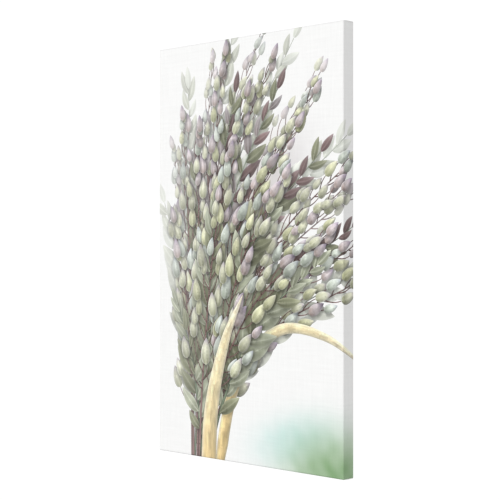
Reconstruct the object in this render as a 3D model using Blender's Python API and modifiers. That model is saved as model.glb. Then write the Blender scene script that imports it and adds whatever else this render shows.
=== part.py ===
"""Stretched canvas print: a picture on canvas, wrapped round a keyed wooden stretcher frame.

The canvas is one sheet that covers the front, turns over all four edges and is stapled to the
back of the frame. The frame is four bars with mitred bridle joints, spread by wooden keys. A
saw-tooth hanger is nailed to the top bar.

Metres, +Z up. The picture faces -Y and the wall is at +Y. The origin is the middle notch of the
hanger, where the wall hook bears.
"""

import math
import random
from typing import NamedTuple

import bmesh
import bpy
from mathutils import Matrix, Vector

MM = 0.001

# Driving sizes of the finished print
PRINT_WIDTH = 360 * MM
PRINT_HEIGHT = 600 * MM
PRINT_DEPTH = 20 * MM
HOOK_DROP = 30 * MM  # from the top edge down to the hanger's notches
CLEARANCE = 0.3 * MM  # between pieces that touch

# Canvas
FABRIC = 0.5 * MM
FLAP_WIDTH = 20 * MM
FRONT_EDGE_RADIUS = 1.5 * MM
OTHER_EDGE_RADIUS = 0.8 * MM
EDGE_SEGMENTS = 3
PLEAT_INSET = 1.6 * MM  # from the print's edges to a pleat's
PLEAT_SETBACK = 1 * MM  # a pleat's fold lies this far short of the corner's diagonal

# Stretcher bars
WOOD_OFFSET = FABRIC + CLEARANCE  # from the print's outside to the wood
BAR_WIDTH = 38 * MM
BAR_DEPTH = PRINT_DEPTH - 2 * WOOD_OFFSET
BEAD_RADIUS = 2 * MM
BEAD_WIDTH = 6 * MM
BEAD_STEP = 0.9 * MM  # the bead stands this far above the sloping face
INNER_EDGE_DEPTH = 14 * MM
INNER_EDGE_RADIUS = 1.5 * MM

# Bridle joints: the rails' tongues lie nearer the back, the stiles' nearer the front
TONGUE = 3.8 * MM
RAIL_TONGUE_Z = WOOD_OFFSET + 3.4 * MM
STILE_TONGUE_Z = WOOD_OFFSET + 9.0 * MM
KEY_SPACE = 8.3 * MM  # each slot runs this far past the inner corner
CUT_BEYOND = 5 * MM  # a cutter's reach past the wood

# Keys
KEY_LENGTH = 42 * MM
KEY_PROUD = 10 * MM
KEY_TIP_WIDTH = 3 * MM
KEY_BLUNT_WIDTH = KEY_SPACE - 2 * CLEARANCE

# Staples
STAPLE_CROWN = 11 * MM
STAPLE_LEG = 7 * MM
WIRE_WIDTH = 1.2 * MM
WIRE_THICKNESS = 0.7 * MM
STAPLE_BEND = 1.4 * MM
STAPLE_INSET = 12 * MM  # from the outer edge
END_STAPLE = 30 * MM  # from the corner to the first staple
SHORT_SIDE_STAPLES = 6
LONG_SIDE_STAPLES = 11
STAPLE_SWAY = math.radians(5)
STAPLE_DRIFT = 1.2 * MM
STAPLE_SEED = 11

# Saw-tooth hanger and its nails
HANGER_LENGTH = 44 * MM
HANGER_PLATE = 0.8 * MM
HANGER_ABOVE = 8 * MM  # above the notches
TOOTH_PITCH = 2 * MM
TOOTH_HEIGHT = 1.5 * MM
TEETH = 10
BRIDGE_HALF = 11.5 * MM  # half the raised middle
RAMP = 3 * MM
BRIDGE_RAISE = 1.6 * MM
NAIL_X = 18 * MM
NAIL_HEAD_RADIUS = 1.9 * MM
NAIL_HEAD_TOP_RADIUS = 1.5 * MM
NAIL_HEAD = 0.8 * MM
NAIL_HEAD_RIM = 0.6 * MM
NAIL_SHANK_RADIUS = 0.65 * MM
NAIL_LENGTH = 8 * MM
NAIL_POINT = 1.6 * MM

# Facets
BEND_STEPS = 3  # in a quarter turn
ROUND_END_STEPS = 6  # in a half turn
NAIL_SIDES = 16
SMOOTH_ANGLE = math.radians(35)
SHARP_TURN = math.radians(60)

# Where the print lies round its hook. The back plane's distance puts the raised middle of the
# hanger, half way through its plate, at y = 0.
HANGER_TAB_Z = WOOD_OFFSET - CLEARANCE - HANGER_PLATE / 2
BACK_Y = HANGER_TAB_Z - BRIDGE_RAISE
TOP_Z = HOOK_DROP
BOTTOM_Z = TOP_Z - PRINT_HEIGHT
MIDDLE_Z = (TOP_Z + BOTTOM_Z) / 2

# One row per finish: colour, roughness and metallic value
FINISHES = {
    "canvas": ((0.93, 0.93, 0.92), 0.85, 0.0),
    "pine": ((0.78, 0.60, 0.38), 0.7, 0.0),
    "beech": ((0.80, 0.62, 0.42), 0.65, 0.0),
    "staple_steel": ((0.70, 0.70, 0.70), 0.35, 1.0),
    "brass_plated": ((0.80, 0.62, 0.28), 0.3, 1.0),
}


class Side(NamedTuple):
    """One side of the print.

    Its empty stands at the middle of its outer back edge, with X along the edge, Y inwards across
    the back and Z towards the picture. The turn is about world Y, from the bottom side's axes.
    """

    length: float
    middle: tuple
    turn: float
    tongue_z: float
    slot_z: float
    staples: int


def rail(z, turn):
    return Side(PRINT_WIDTH, (0, BACK_Y, z), turn, RAIL_TONGUE_Z, STILE_TONGUE_Z, SHORT_SIDE_STAPLES)


def stile(x, turn):
    return Side(PRINT_HEIGHT, (x, BACK_Y, MIDDLE_Z), turn, STILE_TONGUE_Z, RAIL_TONGUE_Z, LONG_SIDE_STAPLES)


RAILS = {"bottom": rail(BOTTOM_Z, 0), "top": rail(TOP_Z, math.pi)}
STILES = {"right": stile(PRINT_WIDTH / 2, -math.pi / 2), "left": stile(-PRINT_WIDTH / 2, math.pi / 2)}
SIDES = {**RAILS, **STILES}
ENDS = {"start": -1, "end": 1}


def clear_scene():
    for old in list(bpy.data.objects):
        bpy.data.objects.remove(old)


def new_collection(name):
    collection = bpy.data.collections.new(name)
    bpy.context.scene.collection.children.link(collection)
    return collection


def make_material(name):
    colour, roughness, metallic = FINISHES[name]
    material = bpy.data.materials.new(name)
    material.use_nodes = True
    shader = material.node_tree.nodes["Principled BSDF"]
    shader.inputs["Base Color"].default_value = (*colour, 1)
    shader.inputs["Roughness"].default_value = roughness
    shader.inputs["Metallic"].default_value = metallic
    return material


def add_object(name, mesh, collection, parent=None, material=None):
    obj = bpy.data.objects.new(name, mesh)
    collection.objects.link(obj)
    obj.parent = parent
    if material and material.name not in mesh.materials:
        mesh.materials.append(material)
    return obj


def add_cutter(mesh, collection, parent):
    cutter = add_object(mesh.name, mesh, collection, parent)
    cutter.hide_render = True
    cutter.display_type = "WIRE"
    return cutter


def add_boolean(obj, others, name, operation="DIFFERENCE"):
    boolean = obj.modifiers.new(name, "BOOLEAN")
    boolean.operation = operation
    boolean.operand_type = "COLLECTION"
    boolean.collection = others
    boolean.solver = "EXACT"


def make_side_empties(collection):
    empties = {}
    for name, side in SIDES.items():
        empty = bpy.data.objects.new(f"edge_{name}", None)
        collection.objects.link(empty)
        empty.location = side.middle
        empty.rotation_euler = (math.pi / 2, side.turn, 0)
        empties[name] = empty
    return empties


def mesh_from(bm, name):
    mesh = bpy.data.meshes.new(name)
    bm.to_mesh(mesh)
    bm.free()
    mesh.shade_smooth()
    mesh.set_sharp_from_angle(angle=SMOOTH_ANGLE)
    return mesh


def box_mesh(name, low, high, turn=0.0):
    """A box between two corners, turned about its own middle line along Z."""
    low, high = Vector(low), Vector(high)
    bm = bmesh.new()
    bmesh.ops.create_cube(bm, size=1)
    bmesh.ops.scale(bm, vec=high - low, verts=bm.verts)
    bmesh.ops.rotate(bm, matrix=Matrix.Rotation(turn, 3, "Z"), verts=bm.verts)
    bmesh.ops.translate(bm, vec=(low + high) / 2, verts=bm.verts)
    return mesh_from(bm, name)


def outline_mesh(name, outline, thickness, matrix=None):
    """A flat outline in X and Y as a plate centred on Z, then placed by the matrix."""
    curve = bpy.data.curves.new(name, "CURVE")
    curve.dimensions = "2D"
    curve.fill_mode = "BOTH"
    curve.extrude = thickness / 2
    spline = curve.splines.new("POLY")
    spline.points.add(len(outline) - 1)
    for point, (x, y) in zip(spline.points, outline):
        point.co = (x, y, 0, 1)
    spline.use_cyclic_u = True
    guide = bpy.data.objects.new(name, curve)
    bpy.context.scene.collection.objects.link(guide)
    bpy.context.view_layer.update()
    plate = bpy.data.meshes.new_from_object(guide.evaluated_get(bpy.context.evaluated_depsgraph_get()))
    bpy.data.objects.remove(guide)
    bpy.data.curves.remove(curve)
    bm = bmesh.new()
    bm.from_mesh(plate)
    bpy.data.meshes.remove(plate)
    bmesh.ops.remove_doubles(bm, verts=bm.verts, dist=0.01 * MM)
    bmesh.ops.transform(bm, matrix=matrix or Matrix(), verts=bm.verts)
    return mesh_from(bm, name)


def mirrored(outline, end):
    """The outline itself at a side's end, and its mirror image in X at the side's start."""
    if end > 0:
        return outline
    return [(-x, y) for x, y in reversed(outline)]


def arc(centre, radius, start_deg, end_deg, steps=BEND_STEPS):
    """Points along an arc, both ends included."""
    angles = [math.radians(start_deg + (end_deg - start_deg) * i / steps) for i in range(steps + 1)]
    return [(centre[0] + radius * math.cos(a), centre[1] + radius * math.sin(a)) for a in angles]


def bar_profile():
    """Section of a bar across its width and depth, from the outer back corner."""
    near, far = WOOD_OFFSET, WOOD_OFFSET + BAR_WIDTH
    back, front = WOOD_OFFSET, WOOD_OFFSET + BAR_DEPTH
    inner_centre = (far - INNER_EDGE_RADIUS, back + INNER_EDGE_DEPTH - INNER_EDGE_RADIUS)
    bead_centre = (near + BEAD_RADIUS, front - BEAD_RADIUS)
    points = [(near, back), (far, back)]
    points += arc(inner_centre, INNER_EDGE_RADIUS, 0, 90)
    points += [(near + BEAD_WIDTH + BEAD_STEP, front - BEAD_STEP), (near + BEAD_WIDTH, front)]
    points += arc(bead_centre, BEAD_RADIUS, 90, 180)
    return points


def add_mitre_cutters(name, side, end, empty, collection):
    """Boxes whose faces lie along the mitre, half a clearance back, and leave the tongue uncut."""
    corner = Vector((end * (side.length / 2 - WOOD_OFFSET), WOOD_OFFSET, 0))
    outwards = Vector((end, 1, 0)).normalized()
    reach = 2 * BAR_WIDTH
    middle = corner + outwards * (reach - CLEARANCE / 2)
    layers = {
        "back": (-CUT_BEYOND, side.tongue_z),
        "front": (side.tongue_z + TONGUE, PRINT_DEPTH + CUT_BEYOND),
    }
    for layer, (bottom, top) in layers.items():
        low = (middle.x - reach, middle.y - reach, bottom)
        high = (middle.x + reach, middle.y + reach, top)
        mesh = box_mesh(f"mitre_{layer}_{name}", low, high, math.pi / 4)
        add_cutter(mesh, collection, empty)


def add_slot_cutter(name, side, end, empty, collection):
    """The slot that takes the next bar's tongue and a key, open at the bar's end and both edges."""
    corner_x = side.length / 2 - WOOD_OFFSET
    span = sorted((end * (corner_x - BAR_WIDTH - KEY_SPACE), end * (corner_x + CUT_BEYOND)))
    low = (span[0], -CUT_BEYOND, side.slot_z - CLEARANCE)
    high = (span[1], WOOD_OFFSET + BAR_WIDTH + CUT_BEYOND, side.slot_z + TONGUE + CLEARANCE)
    add_cutter(box_mesh(f"slot_{name}", low, high), collection, empty)


def make_bar(name, empty, collection, leg_holes, material):
    side = SIDES[name]
    # The outline's X, Y and Z become the bar's width, depth and length.
    lie_along_x = Matrix(((0, 0, 1, 0), (1, 0, 0, 0), (0, 1, 0, 0), (0, 0, 0, 1)))
    length = side.length - 2 * WOOD_OFFSET
    mesh = outline_mesh(f"stretcher_bar_{name}", bar_profile(), length, lie_along_x)
    bar = add_object(mesh.name, mesh, collection, empty, material)
    joints = new_collection(f"joint_cutters_{name}")
    for end_name, end in ENDS.items():
        add_mitre_cutters(f"{name}_{end_name}", side, end, empty, joints)
        add_slot_cutter(f"{name}_{end_name}", side, end, empty, joints)
    add_boolean(bar, joints, "Joints")
    add_boolean(bar, leg_holes, "StapleHoles")
    return bar


def make_keys(name, empty, collection, material):
    """Wedges in a bar's two slots, each with its straight edge against the slot's end."""
    side = SIDES[name]
    flat_x = side.length / 2 - WOOD_OFFSET - BAR_WIDTH - KEY_SPACE + CLEARANCE
    blunt_y = WOOD_OFFSET + BAR_WIDTH + KEY_PROUD
    outline = [
        (flat_x, blunt_y - KEY_LENGTH),
        (flat_x + KEY_TIP_WIDTH, blunt_y - KEY_LENGTH),
        (flat_x + KEY_BLUNT_WIDTH, blunt_y),
        (flat_x, blunt_y),
    ]
    for end_name, end in ENDS.items():
        mesh = outline_mesh(f"key_{name}_{end_name}", mirrored(outline, end), TONGUE)
        key = add_object(mesh.name, mesh, collection, empty, material)
        key.location.z = side.slot_z + TONGUE / 2


def staple_mesh():
    """A flat-wire staple about the middle of its crown, legs along +Z, the crown's outside at -Z."""
    half = STAPLE_CROWN / 2
    inner_half, inner_bend = half - WIRE_THICKNESS, STAPLE_BEND - WIRE_THICKNESS
    crown_y = STAPLE_BEND - WIRE_THICKNESS
    outline = [(-half, STAPLE_LEG)]
    outline += arc((-half + STAPLE_BEND, crown_y), STAPLE_BEND, 180, 270)
    outline += arc((half - STAPLE_BEND, crown_y), STAPLE_BEND, 270, 360)
    outline += [(half, STAPLE_LEG), (inner_half, STAPLE_LEG)]
    outline += arc((inner_half - inner_bend, inner_bend), inner_bend, 0, -90)
    outline += arc((-inner_half + inner_bend, inner_bend), inner_bend, 270, 180)
    outline += [(-inner_half, STAPLE_LEG)]
    return outline_mesh("staple", outline, WIRE_WIDTH, Matrix.Rotation(math.pi / 2, 4, "X"))


def leg_hole_mesh(leg):
    """The hole for the staple's leg at -X or +X, in the staple's own axes."""
    middle_x = leg * (STAPLE_CROWN - WIRE_THICKNESS) / 2
    half_x = WIRE_THICKNESS / 2 + CLEARANCE
    half_y = WIRE_WIDTH / 2 + CLEARANCE
    low = (middle_x - half_x, -half_y, -CLEARANCE)
    high = (middle_x + half_x, half_y, STAPLE_LEG + CLEARANCE)
    return box_mesh("leg_hole", low, high)


def staple_places(side, dice):
    """Place and turn of each staple on a side, a little uneven, as a hand leaves them."""
    step = (side.length - 2 * END_STAPLE) / (side.staples - 1)
    for i in range(side.staples):
        x = -side.length / 2 + END_STAPLE + i * step
        y = STAPLE_INSET + dice.uniform(-STAPLE_DRIFT, STAPLE_DRIFT)
        yield (x, y, -CLEARANCE), dice.uniform(-STAPLE_SWAY, STAPLE_SWAY)


def make_staples(empties, collection, leg_holes, material):
    dice = random.Random(STAPLE_SEED)
    mesh = staple_mesh()
    hole_meshes = [leg_hole_mesh(leg) for leg in (-1, 1)]
    for name, side in SIDES.items():
        for number, (place, turn) in enumerate(staple_places(side, dice), 1):
            staple = add_object(f"staple_{name}_{number:02d}", mesh, collection, empties[name], material)
            holes = [add_cutter(hole_mesh, leg_holes, empties[name]) for hole_mesh in hole_meshes]
            for obj in (staple, *holes):
                obj.location = place
                obj.rotation_euler.z = turn


def canvas_surface():
    """The outside of the canvas as an open surface: a tray with a rim of flaps round its back."""
    bm = bmesh.new()
    bmesh.ops.create_cube(bm, size=1)
    bmesh.ops.scale(bm, vec=(PRINT_WIDTH, PRINT_DEPTH, PRINT_HEIGHT), verts=bm.verts)
    back = max(bm.faces, key=lambda face: face.normal.y)
    bmesh.ops.inset_region(bm, faces=[back], thickness=FLAP_WIDTH)
    bmesh.ops.delete(bm, geom=[back], context="FACES")
    front_edges = [edge for edge in bm.edges if all(vert.co.y < 0 for vert in edge.verts)]
    round_edges(bm, front_edges, FRONT_EDGE_RADIUS)
    turns = [edge for edge in bm.edges if len(edge.link_faces) == 2 and edge.calc_face_angle() > SHARP_TURN]
    round_edges(bm, turns, OTHER_EDGE_RADIUS)
    return mesh_from(bm, "canvas")


def round_edges(bm, edges, radius):
    bmesh.ops.bevel(bm, geom=edges, offset=radius, segments=EDGE_SEGMENTS, profile=0.5, affect="EDGES")


def make_canvas(collection, pleats, leg_holes, material):
    canvas = add_object("canvas", canvas_surface(), collection, None, material)
    canvas.location = (0, BACK_Y - PRINT_DEPTH / 2, MIDDLE_Z)
    fabric = canvas.modifiers.new("Fabric", "SOLIDIFY")
    fabric.thickness = FABRIC
    fabric.offset = -1
    fabric.use_even_offset = True
    add_boolean(canvas, pleats, "Pleats", "UNION")
    add_boolean(canvas, leg_holes, "StapleHoles")
    return canvas


def make_pleats(empties, pleats):
    """The top and bottom flaps' mitred ends, one cloth thickness proud of the side flaps."""
    leg = FLAP_WIDTH - 2 * PLEAT_INSET
    sunk = FABRIC / 2
    for name, side in RAILS.items():
        corner = side.length / 2 - PLEAT_INSET - PLEAT_SETBACK
        outline = [(corner - leg, PLEAT_INSET), (corner, PLEAT_INSET), (corner - leg, PLEAT_INSET + leg)]
        for end_name, end in ENDS.items():
            mesh = outline_mesh(f"pleat_{name}_{end_name}", mirrored(outline, end), FABRIC + sunk)
            pleat = add_cutter(mesh, pleats, empties[name])
            pleat.location.z = (sunk - FABRIC) / 2


def hanger_outline():
    """The strip in the top side's axes: +Y is down, so the teeth point to +Y."""
    top = HOOK_DROP - HANGER_ABOVE
    low = HOOK_DROP + TOOTH_HEIGHT / 2
    end_radius = (low - top) / 2
    end_x = HANGER_LENGTH / 2 - end_radius
    middle_y = (top + low) / 2
    first_notch = TOOTH_PITCH * TEETH / 2
    points = arc((end_x, middle_y), end_radius, -90, 90, ROUND_END_STEPS)
    points.append((first_notch, low))
    for i in range(TEETH):
        notch = first_notch - TOOTH_PITCH * i
        points.append((notch, HOOK_DROP))
        points.append((notch - TOOTH_PITCH / 2, HOOK_DROP + TOOTH_HEIGHT))
    points.append((-first_notch, HOOK_DROP))
    points.append((-first_notch, low))
    points += arc((-end_x, middle_y), end_radius, 90, 270, ROUND_END_STEPS)
    return points


def hanger_mesh():
    """The strip with its middle bent away from the wood, over a ramp at each end."""
    bm = bmesh.new()
    bm.from_mesh(outline_mesh("flat_strip", hanger_outline(), HANGER_PLATE))
    for x in (-BRIDGE_HALF - RAMP, -BRIDGE_HALF, BRIDGE_HALF, BRIDGE_HALF + RAMP):
        everything = [*bm.verts, *bm.edges, *bm.faces]
        bmesh.ops.bisect_plane(bm, geom=everything, plane_co=(x, 0, 0), plane_no=(1, 0, 0))
    for vert in bm.verts:
        along_ramp = (BRIDGE_HALF + RAMP - abs(vert.co.x)) / RAMP
        vert.co.z -= BRIDGE_RAISE * min(1, max(0, along_ramp))
    bmesh.ops.triangulate(bm, faces=bm.faces)
    return mesh_from(bm, "sawtooth_hanger")


def make_hanger(empty, collection, nail_holes, material):
    hanger = add_object("sawtooth_hanger", hanger_mesh(), collection, empty, material)
    hanger.location.z = HANGER_TAB_Z
    add_boolean(hanger, nail_holes, "NailHoles")
    return hanger


def nail_profile_mesh():
    """Half a nail's outline at +X, from its point down to its head."""
    profile = [
        (0, NAIL_LENGTH),
        (NAIL_SHANK_RADIUS, NAIL_LENGTH - NAIL_POINT),
        (NAIL_SHANK_RADIUS, 0),
        (NAIL_HEAD_RADIUS, 0),
        (NAIL_HEAD_TOP_RADIUS, -NAIL_HEAD_RIM),
        (0, -NAIL_HEAD),
    ]
    bm = bmesh.new()
    verts = [bm.verts.new((radius, 0, z)) for radius, z in profile]
    for pair in zip(verts, verts[1:]):
        bm.edges.new(pair)
    return mesh_from(bm, "hanger_nail")


def nail_hole_mesh():
    bm = bmesh.new()
    radius = NAIL_SHANK_RADIUS + CLEARANCE
    depth = NAIL_LENGTH + 2 * CLEARANCE
    bmesh.ops.create_cone(
        bm, cap_ends=True, segments=NAIL_SIDES, radius1=radius, radius2=radius, depth=depth
    )
    bmesh.ops.translate(bm, vec=(0, 0, NAIL_LENGTH / 2), verts=bm.verts)
    return mesh_from(bm, "nail_hole")


def make_nails(empty, collection, nail_holes, material):
    """A turned nail through each tab, its head seated on the strip."""
    seat_z = HANGER_TAB_Z - HANGER_PLATE / 2 - CLEARANCE
    middle_y = HOOK_DROP + (TOOTH_HEIGHT / 2 - HANGER_ABOVE) / 2
    mesh, hole_mesh = nail_profile_mesh(), nail_hole_mesh()
    for number, x in enumerate((-NAIL_X, NAIL_X), 1):
        nail = add_object(f"hanger_nail_{number}", mesh, collection, empty, material)
        turned = nail.modifiers.new("Turned", "SCREW")
        turned.steps = NAIL_SIDES
        turned.render_steps = NAIL_SIDES
        turned.use_merge_vertices = True
        turned.merge_threshold = 0.01 * MM
        hole = add_cutter(hole_mesh, nail_holes, empty)
        for obj in (nail, hole):
            obj.location = (x, middle_y, seat_z)


def main():
    clear_scene()
    materials = {name: make_material(name) for name in FINISHES}
    parts = new_collection("stretched_canvas_print")
    leg_holes = new_collection("leg_hole_cutters")
    nail_holes = new_collection("nail_hole_cutters")
    pleats = new_collection("pleat_helpers")
    empties = make_side_empties(parts)

    make_pleats(empties, pleats)
    make_staples(empties, parts, leg_holes, materials["staple_steel"])
    make_canvas(parts, pleats, leg_holes, materials["canvas"])
    for name, empty in empties.items():
        bar = make_bar(name, empty, parts, leg_holes, materials["pine"])
        if name == "top":
            add_boolean(bar, nail_holes, "NailHoles")
        make_keys(name, empty, parts, materials["beech"])
    make_hanger(empties["top"], parts, nail_holes, materials["brass_plated"])
    make_nails(empties["top"], parts, nail_holes, materials["brass_plated"])


main()
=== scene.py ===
"""Looks of the stretched canvas print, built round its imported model.

The canvas is one folded sheet of cloth. Its picture is drawn as outlines on the flat sheet, which
are triangulated, coloured and then wrapped round the stretcher frame with the cloth. The wood and
the metal pieces get their own finishes, and a pale studio stands round the hanging print.

Sizes in the classes are millimetres. Meshes, lights and the camera are in metres. The picture faces
-Y, the wall is at +Y and +Z is up.
"""

from __future__ import annotations

import logging
import math
from dataclasses import dataclass, field
from enum import Enum
from typing import Iterable, Sequence

import bpy
import numpy as np
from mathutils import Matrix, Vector
from mathutils.geometry import delaunay_2d_cdt

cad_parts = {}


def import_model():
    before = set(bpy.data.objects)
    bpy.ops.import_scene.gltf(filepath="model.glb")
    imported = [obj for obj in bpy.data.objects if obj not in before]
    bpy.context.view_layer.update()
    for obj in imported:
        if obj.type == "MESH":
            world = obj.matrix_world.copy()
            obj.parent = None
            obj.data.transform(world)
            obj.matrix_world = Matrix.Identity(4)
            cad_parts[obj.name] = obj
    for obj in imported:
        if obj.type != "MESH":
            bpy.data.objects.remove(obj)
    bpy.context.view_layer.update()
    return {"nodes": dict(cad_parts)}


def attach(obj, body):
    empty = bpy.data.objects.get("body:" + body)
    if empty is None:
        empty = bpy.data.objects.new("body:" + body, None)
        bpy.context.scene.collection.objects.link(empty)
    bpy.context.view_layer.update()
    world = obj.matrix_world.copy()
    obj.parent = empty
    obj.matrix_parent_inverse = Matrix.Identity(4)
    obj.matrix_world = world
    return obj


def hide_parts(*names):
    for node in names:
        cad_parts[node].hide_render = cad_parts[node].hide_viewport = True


LOG = logging.getLogger("canvas_print")

MM = 0.001
CANVAS_NODE = "canvas"
PATH_STEP = 3.0
REED_STEP = 4.0

Rgb = tuple[float, float, float]
Points = np.ndarray  # rows of places
Values = np.ndarray  # a number for each place
Rows = np.ndarray  # whole numbers, such as the rows of points that triangles join
Knots = Sequence[tuple[float, float]]


def smooth(value: Values) -> Values:
    """A smooth step from 0 to 1 as the value goes from 0 to 1."""
    value = np.clip(value, 0.0, 1.0)
    return value * value * (3.0 - 2.0 * value)


def to_linear(colour: Iterable[float]) -> Values:
    """Turns sRGB values of 0 to 255 into linear ones of 0 to 1."""
    value = np.asarray(colour, float) / 255.0
    return np.where(value <= 0.04045, value / 12.92, ((value + 0.055) / 1.055) ** 2.4)


def blend(first: Iterable[float], second: Iterable[float], share: Values | float) -> Values:
    """A mix of two colours, the second taking the given share."""
    return np.asarray(first) * (1 - share) + np.asarray(second) * share


def unit(rows: Points) -> Points:
    """Rows scaled to a length of 1."""
    return rows / np.maximum(np.linalg.norm(rows, axis=1, keepdims=True), 1e-12)


def heading(angle: float) -> Values:
    """The unit vector at an angle in radians, counted from +X towards +Y."""
    return np.array([math.cos(angle), math.sin(angle)])


class Form(Enum):
    """Outline of a drawn shape: how its width changes from its base to its tip.

    The powers set how full the base and the tip are.
    """

    LEAF = "leaf"
    BUD = "bud"
    BLADE = "blade"

    def width(self, along: Values) -> Values:
        """Gives the share of the full width at each share of the length.

        Args:
            along: Places from 0 at the base to 1 at the tip.

        Returns:
            Widths from 0 to 1.
        """
        if self is Form.LEAF:
            return np.sin(np.pi * along**0.82) ** 0.85
        if self is Form.BUD:
            return 2.49 * along**0.5 * (1.0 - along) ** 0.9
        return np.minimum(1.0, 0.35 + along / 0.25) * (1.0 - along**2.2) ** 0.8


@dataclass(frozen=True)
class Tint:
    """Printed colours of a shape, as sRGB values of 0 to 255.

    The colour runs from base over middle to tip. A rib lies along the shape's middle and a rim
    along its edge. The relief makes one half lighter than the other, and the round shades a shape
    as a stem or bud.
    """

    base: Rgb
    middle: Rgb
    tip: Rgb
    rib: Rgb
    rim: Rgb
    tip_from: float = 0.6
    rib_width: float = 0.45
    rib_share: float = 0.6
    rim_share: float = 0.5
    relief: float = 0.10
    round: float = 0.0
    streaks: float = 0.0
    veins: float = 0.0
    mottle: float = 0.06


@dataclass(frozen=True)
class BudTint(Tint):
    """Printed colours of a bud, which is rounder than a leaf and finely streaked along its length."""

    tip_from: float = 0.62
    rib_share: float = 0.3
    rim_share: float = 0.6
    relief: float = 0.15
    round: float = 0.13
    streaks: float = 0.09
    veins: float = -1.0


@dataclass
class Shape:
    """One drawn shape: a curved middle line with a width that changes along it."""

    middle: Points
    half_width: Values
    tint: Tint
    fade: float = 0.0
    shadow: float = 0.0
    ribs: tuple[float, ...] = (0.0,)
    tone: float = 1.0
    lengths: Values = field(init=False)

    LIGHT = heading(math.radians(125))
    PAPER = np.array([250.0, 250.0, 249.0])
    RIM_START = 0.62
    GLINT_PLACE = 0.4
    GLINT_WIDTH = 0.3
    STREAKS_ACROSS = 9.0
    HALF_CONTRAST = 3.0
    ROUND_LEVEL = 0.25
    GLINT_SHARE = 0.6
    RIB_THINS = 0.6
    POINTED = 0.02

    def __post_init__(self) -> None:
        """Works out how far along the middle line each of its points lies."""
        steps = np.linalg.norm(np.diff(self.middle, axis=0), axis=1)
        self.lengths = np.concatenate([[0.0], np.cumsum(steps)])

    @property
    def length(self) -> float:
        """The middle line's length."""
        return float(self.lengths[-1])

    def normals(self) -> Points:
        """Unit vectors to the left of the middle line, one a point."""
        along = unit(np.gradient(self.middle, axis=0))
        return np.stack([-along[:, 1], along[:, 0]], axis=1)

    def line(self, across: float, inset: int = 0) -> Points:
        """A line along the shape at a share of its half width, without the given end points."""
        points = self.middle + self.normals() * (self.half_width * across)[:, None]
        return points[inset : len(points) - inset]

    def outline(self) -> Points:
        """Draws the closed outline.

        Returns:
            Its points, anticlockwise.
        """
        right, left = self.line(-1.0), self.line(1.0)
        first = 1 if self.half_width[0] < self.POINTED else 0
        last = len(left) - (1 if self.half_width[-1] < self.POINTED else 0)
        return np.concatenate([right, left[first:last][::-1]])

    def local(self, points: Points) -> tuple[Values, Values, Values]:
        """Finds where points lie in the shape's own axes.

        Args:
            points: Places on the flat sheet.

        Returns:
            The distance along the middle line, the signed distance from it, and that distance as a
            share of the half width there.
        """
        start, step = self.middle[:-1], np.diff(self.middle, axis=0)
        length2 = np.maximum((step**2).sum(axis=1), 1e-9)
        offset = points[:, None, :] - start[None, :, :]
        share = np.clip((offset * step).sum(axis=2) / length2, 0.0, 1.0)
        gap = offset - share[:, :, None] * step
        nearest = (gap**2).sum(axis=2).argmin(axis=1)
        rows = np.arange(len(points))
        gap, share = gap[rows, nearest], share[rows, nearest]
        chosen = step[nearest]
        side = np.sign(chosen[:, 0] * gap[:, 1] - chosen[:, 1] * gap[:, 0])
        across = side * np.linalg.norm(gap, axis=1)
        along = self.lengths[nearest] + share * np.sqrt(length2[nearest])
        half = np.interp(along, self.lengths, self.half_width)
        return along, across, across / np.maximum(half, 0.05)

    def colours(self, points: Points, grain: Values) -> tuple[Values, Values, Values]:
        """Colours the shape at points inside it.

        Args:
            points: Places on the flat sheet.
            grain: A slow random value from -1 to 1 at each of them.

        Returns:
            sRGB rows of 0 to 255, and the distances along and across the shape.
        """
        tint = self.tint
        along, across, share = self.local(points)
        run = along / max(self.length, 1e-6)
        first = smooth(run / tint.tip_from)[:, None]
        second = smooth((run - tint.tip_from) / (1.0 - tint.tip_from))[:, None]
        rgb = blend(blend(tint.base, tint.middle, first), tint.tip, second)
        rim = tint.rim_share * smooth((np.abs(share) - self.RIM_START) / (1 - self.RIM_START))[:, None]
        rgb = blend(rgb, tint.rim, rim)
        rib = tint.rib_share * np.exp(-((across / tint.rib_width) ** 2)) * (1 - self.RIB_THINS * run)
        rgb = blend(rgb, tint.rib, rib[:, None])
        way = self.middle[-1] - self.middle[0]
        way = way / max(float(np.linalg.norm(way)), 1e-6)
        facing = float(np.dot([-way[1], way[0]], self.LIGHT))
        light = 1.0 + tint.relief * facing * np.tanh(self.HALF_CONTRAST * share)
        light -= tint.round * (share**2 - self.ROUND_LEVEL)
        glint = (share - self.GLINT_PLACE * facing) / self.GLINT_WIDTH
        light += self.GLINT_SHARE * tint.round * np.exp(-(glint**2))
        light += tint.streaks * np.sin(share * self.STREAKS_ACROSS + 2.0 * grain)
        light += tint.mottle * grain
        rgb = blend(rgb * (light * self.tone)[:, None], self.PAPER, self.fade)
        return np.clip(rgb, 0.0, 255.0), along, across


@dataclass(frozen=True)
class Cloud:
    """A soft patch of printed colour, far out of focus."""

    centre: tuple[float, float]
    reach: tuple[float, float]
    turn: float
    colour: Rgb
    share: float

    def mask(self, points: Points) -> Values:
        """Works out how strongly the patch covers each point.

        Args:
            points: Places on the flat sheet.

        Returns:
            Shares from 0 to 1.
        """
        along = heading(math.radians(self.turn))
        offset = points - np.array(self.centre)
        x = offset @ along / self.reach[0]
        y = offset @ np.array([-along[1], along[0]]) / self.reach[1]
        return self.share * np.exp(-((x**2 + y**2) ** 1.2))


def slow_noise(points: Points) -> Values:
    """Makes a value that drifts smoothly over some tens of millimetres.

    Args:
        points: Places on the flat sheet.

    Returns:
        Values from -1 to 1.
    """
    x, y = points[:, 0], points[:, 1]
    first = np.sin(0.21 * x + 1.3 * np.sin(0.13 * y))
    second = np.sin(0.17 * y + 1.7 * np.sin(0.11 * x + 2.0))
    return 0.5 * (first + second)


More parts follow.
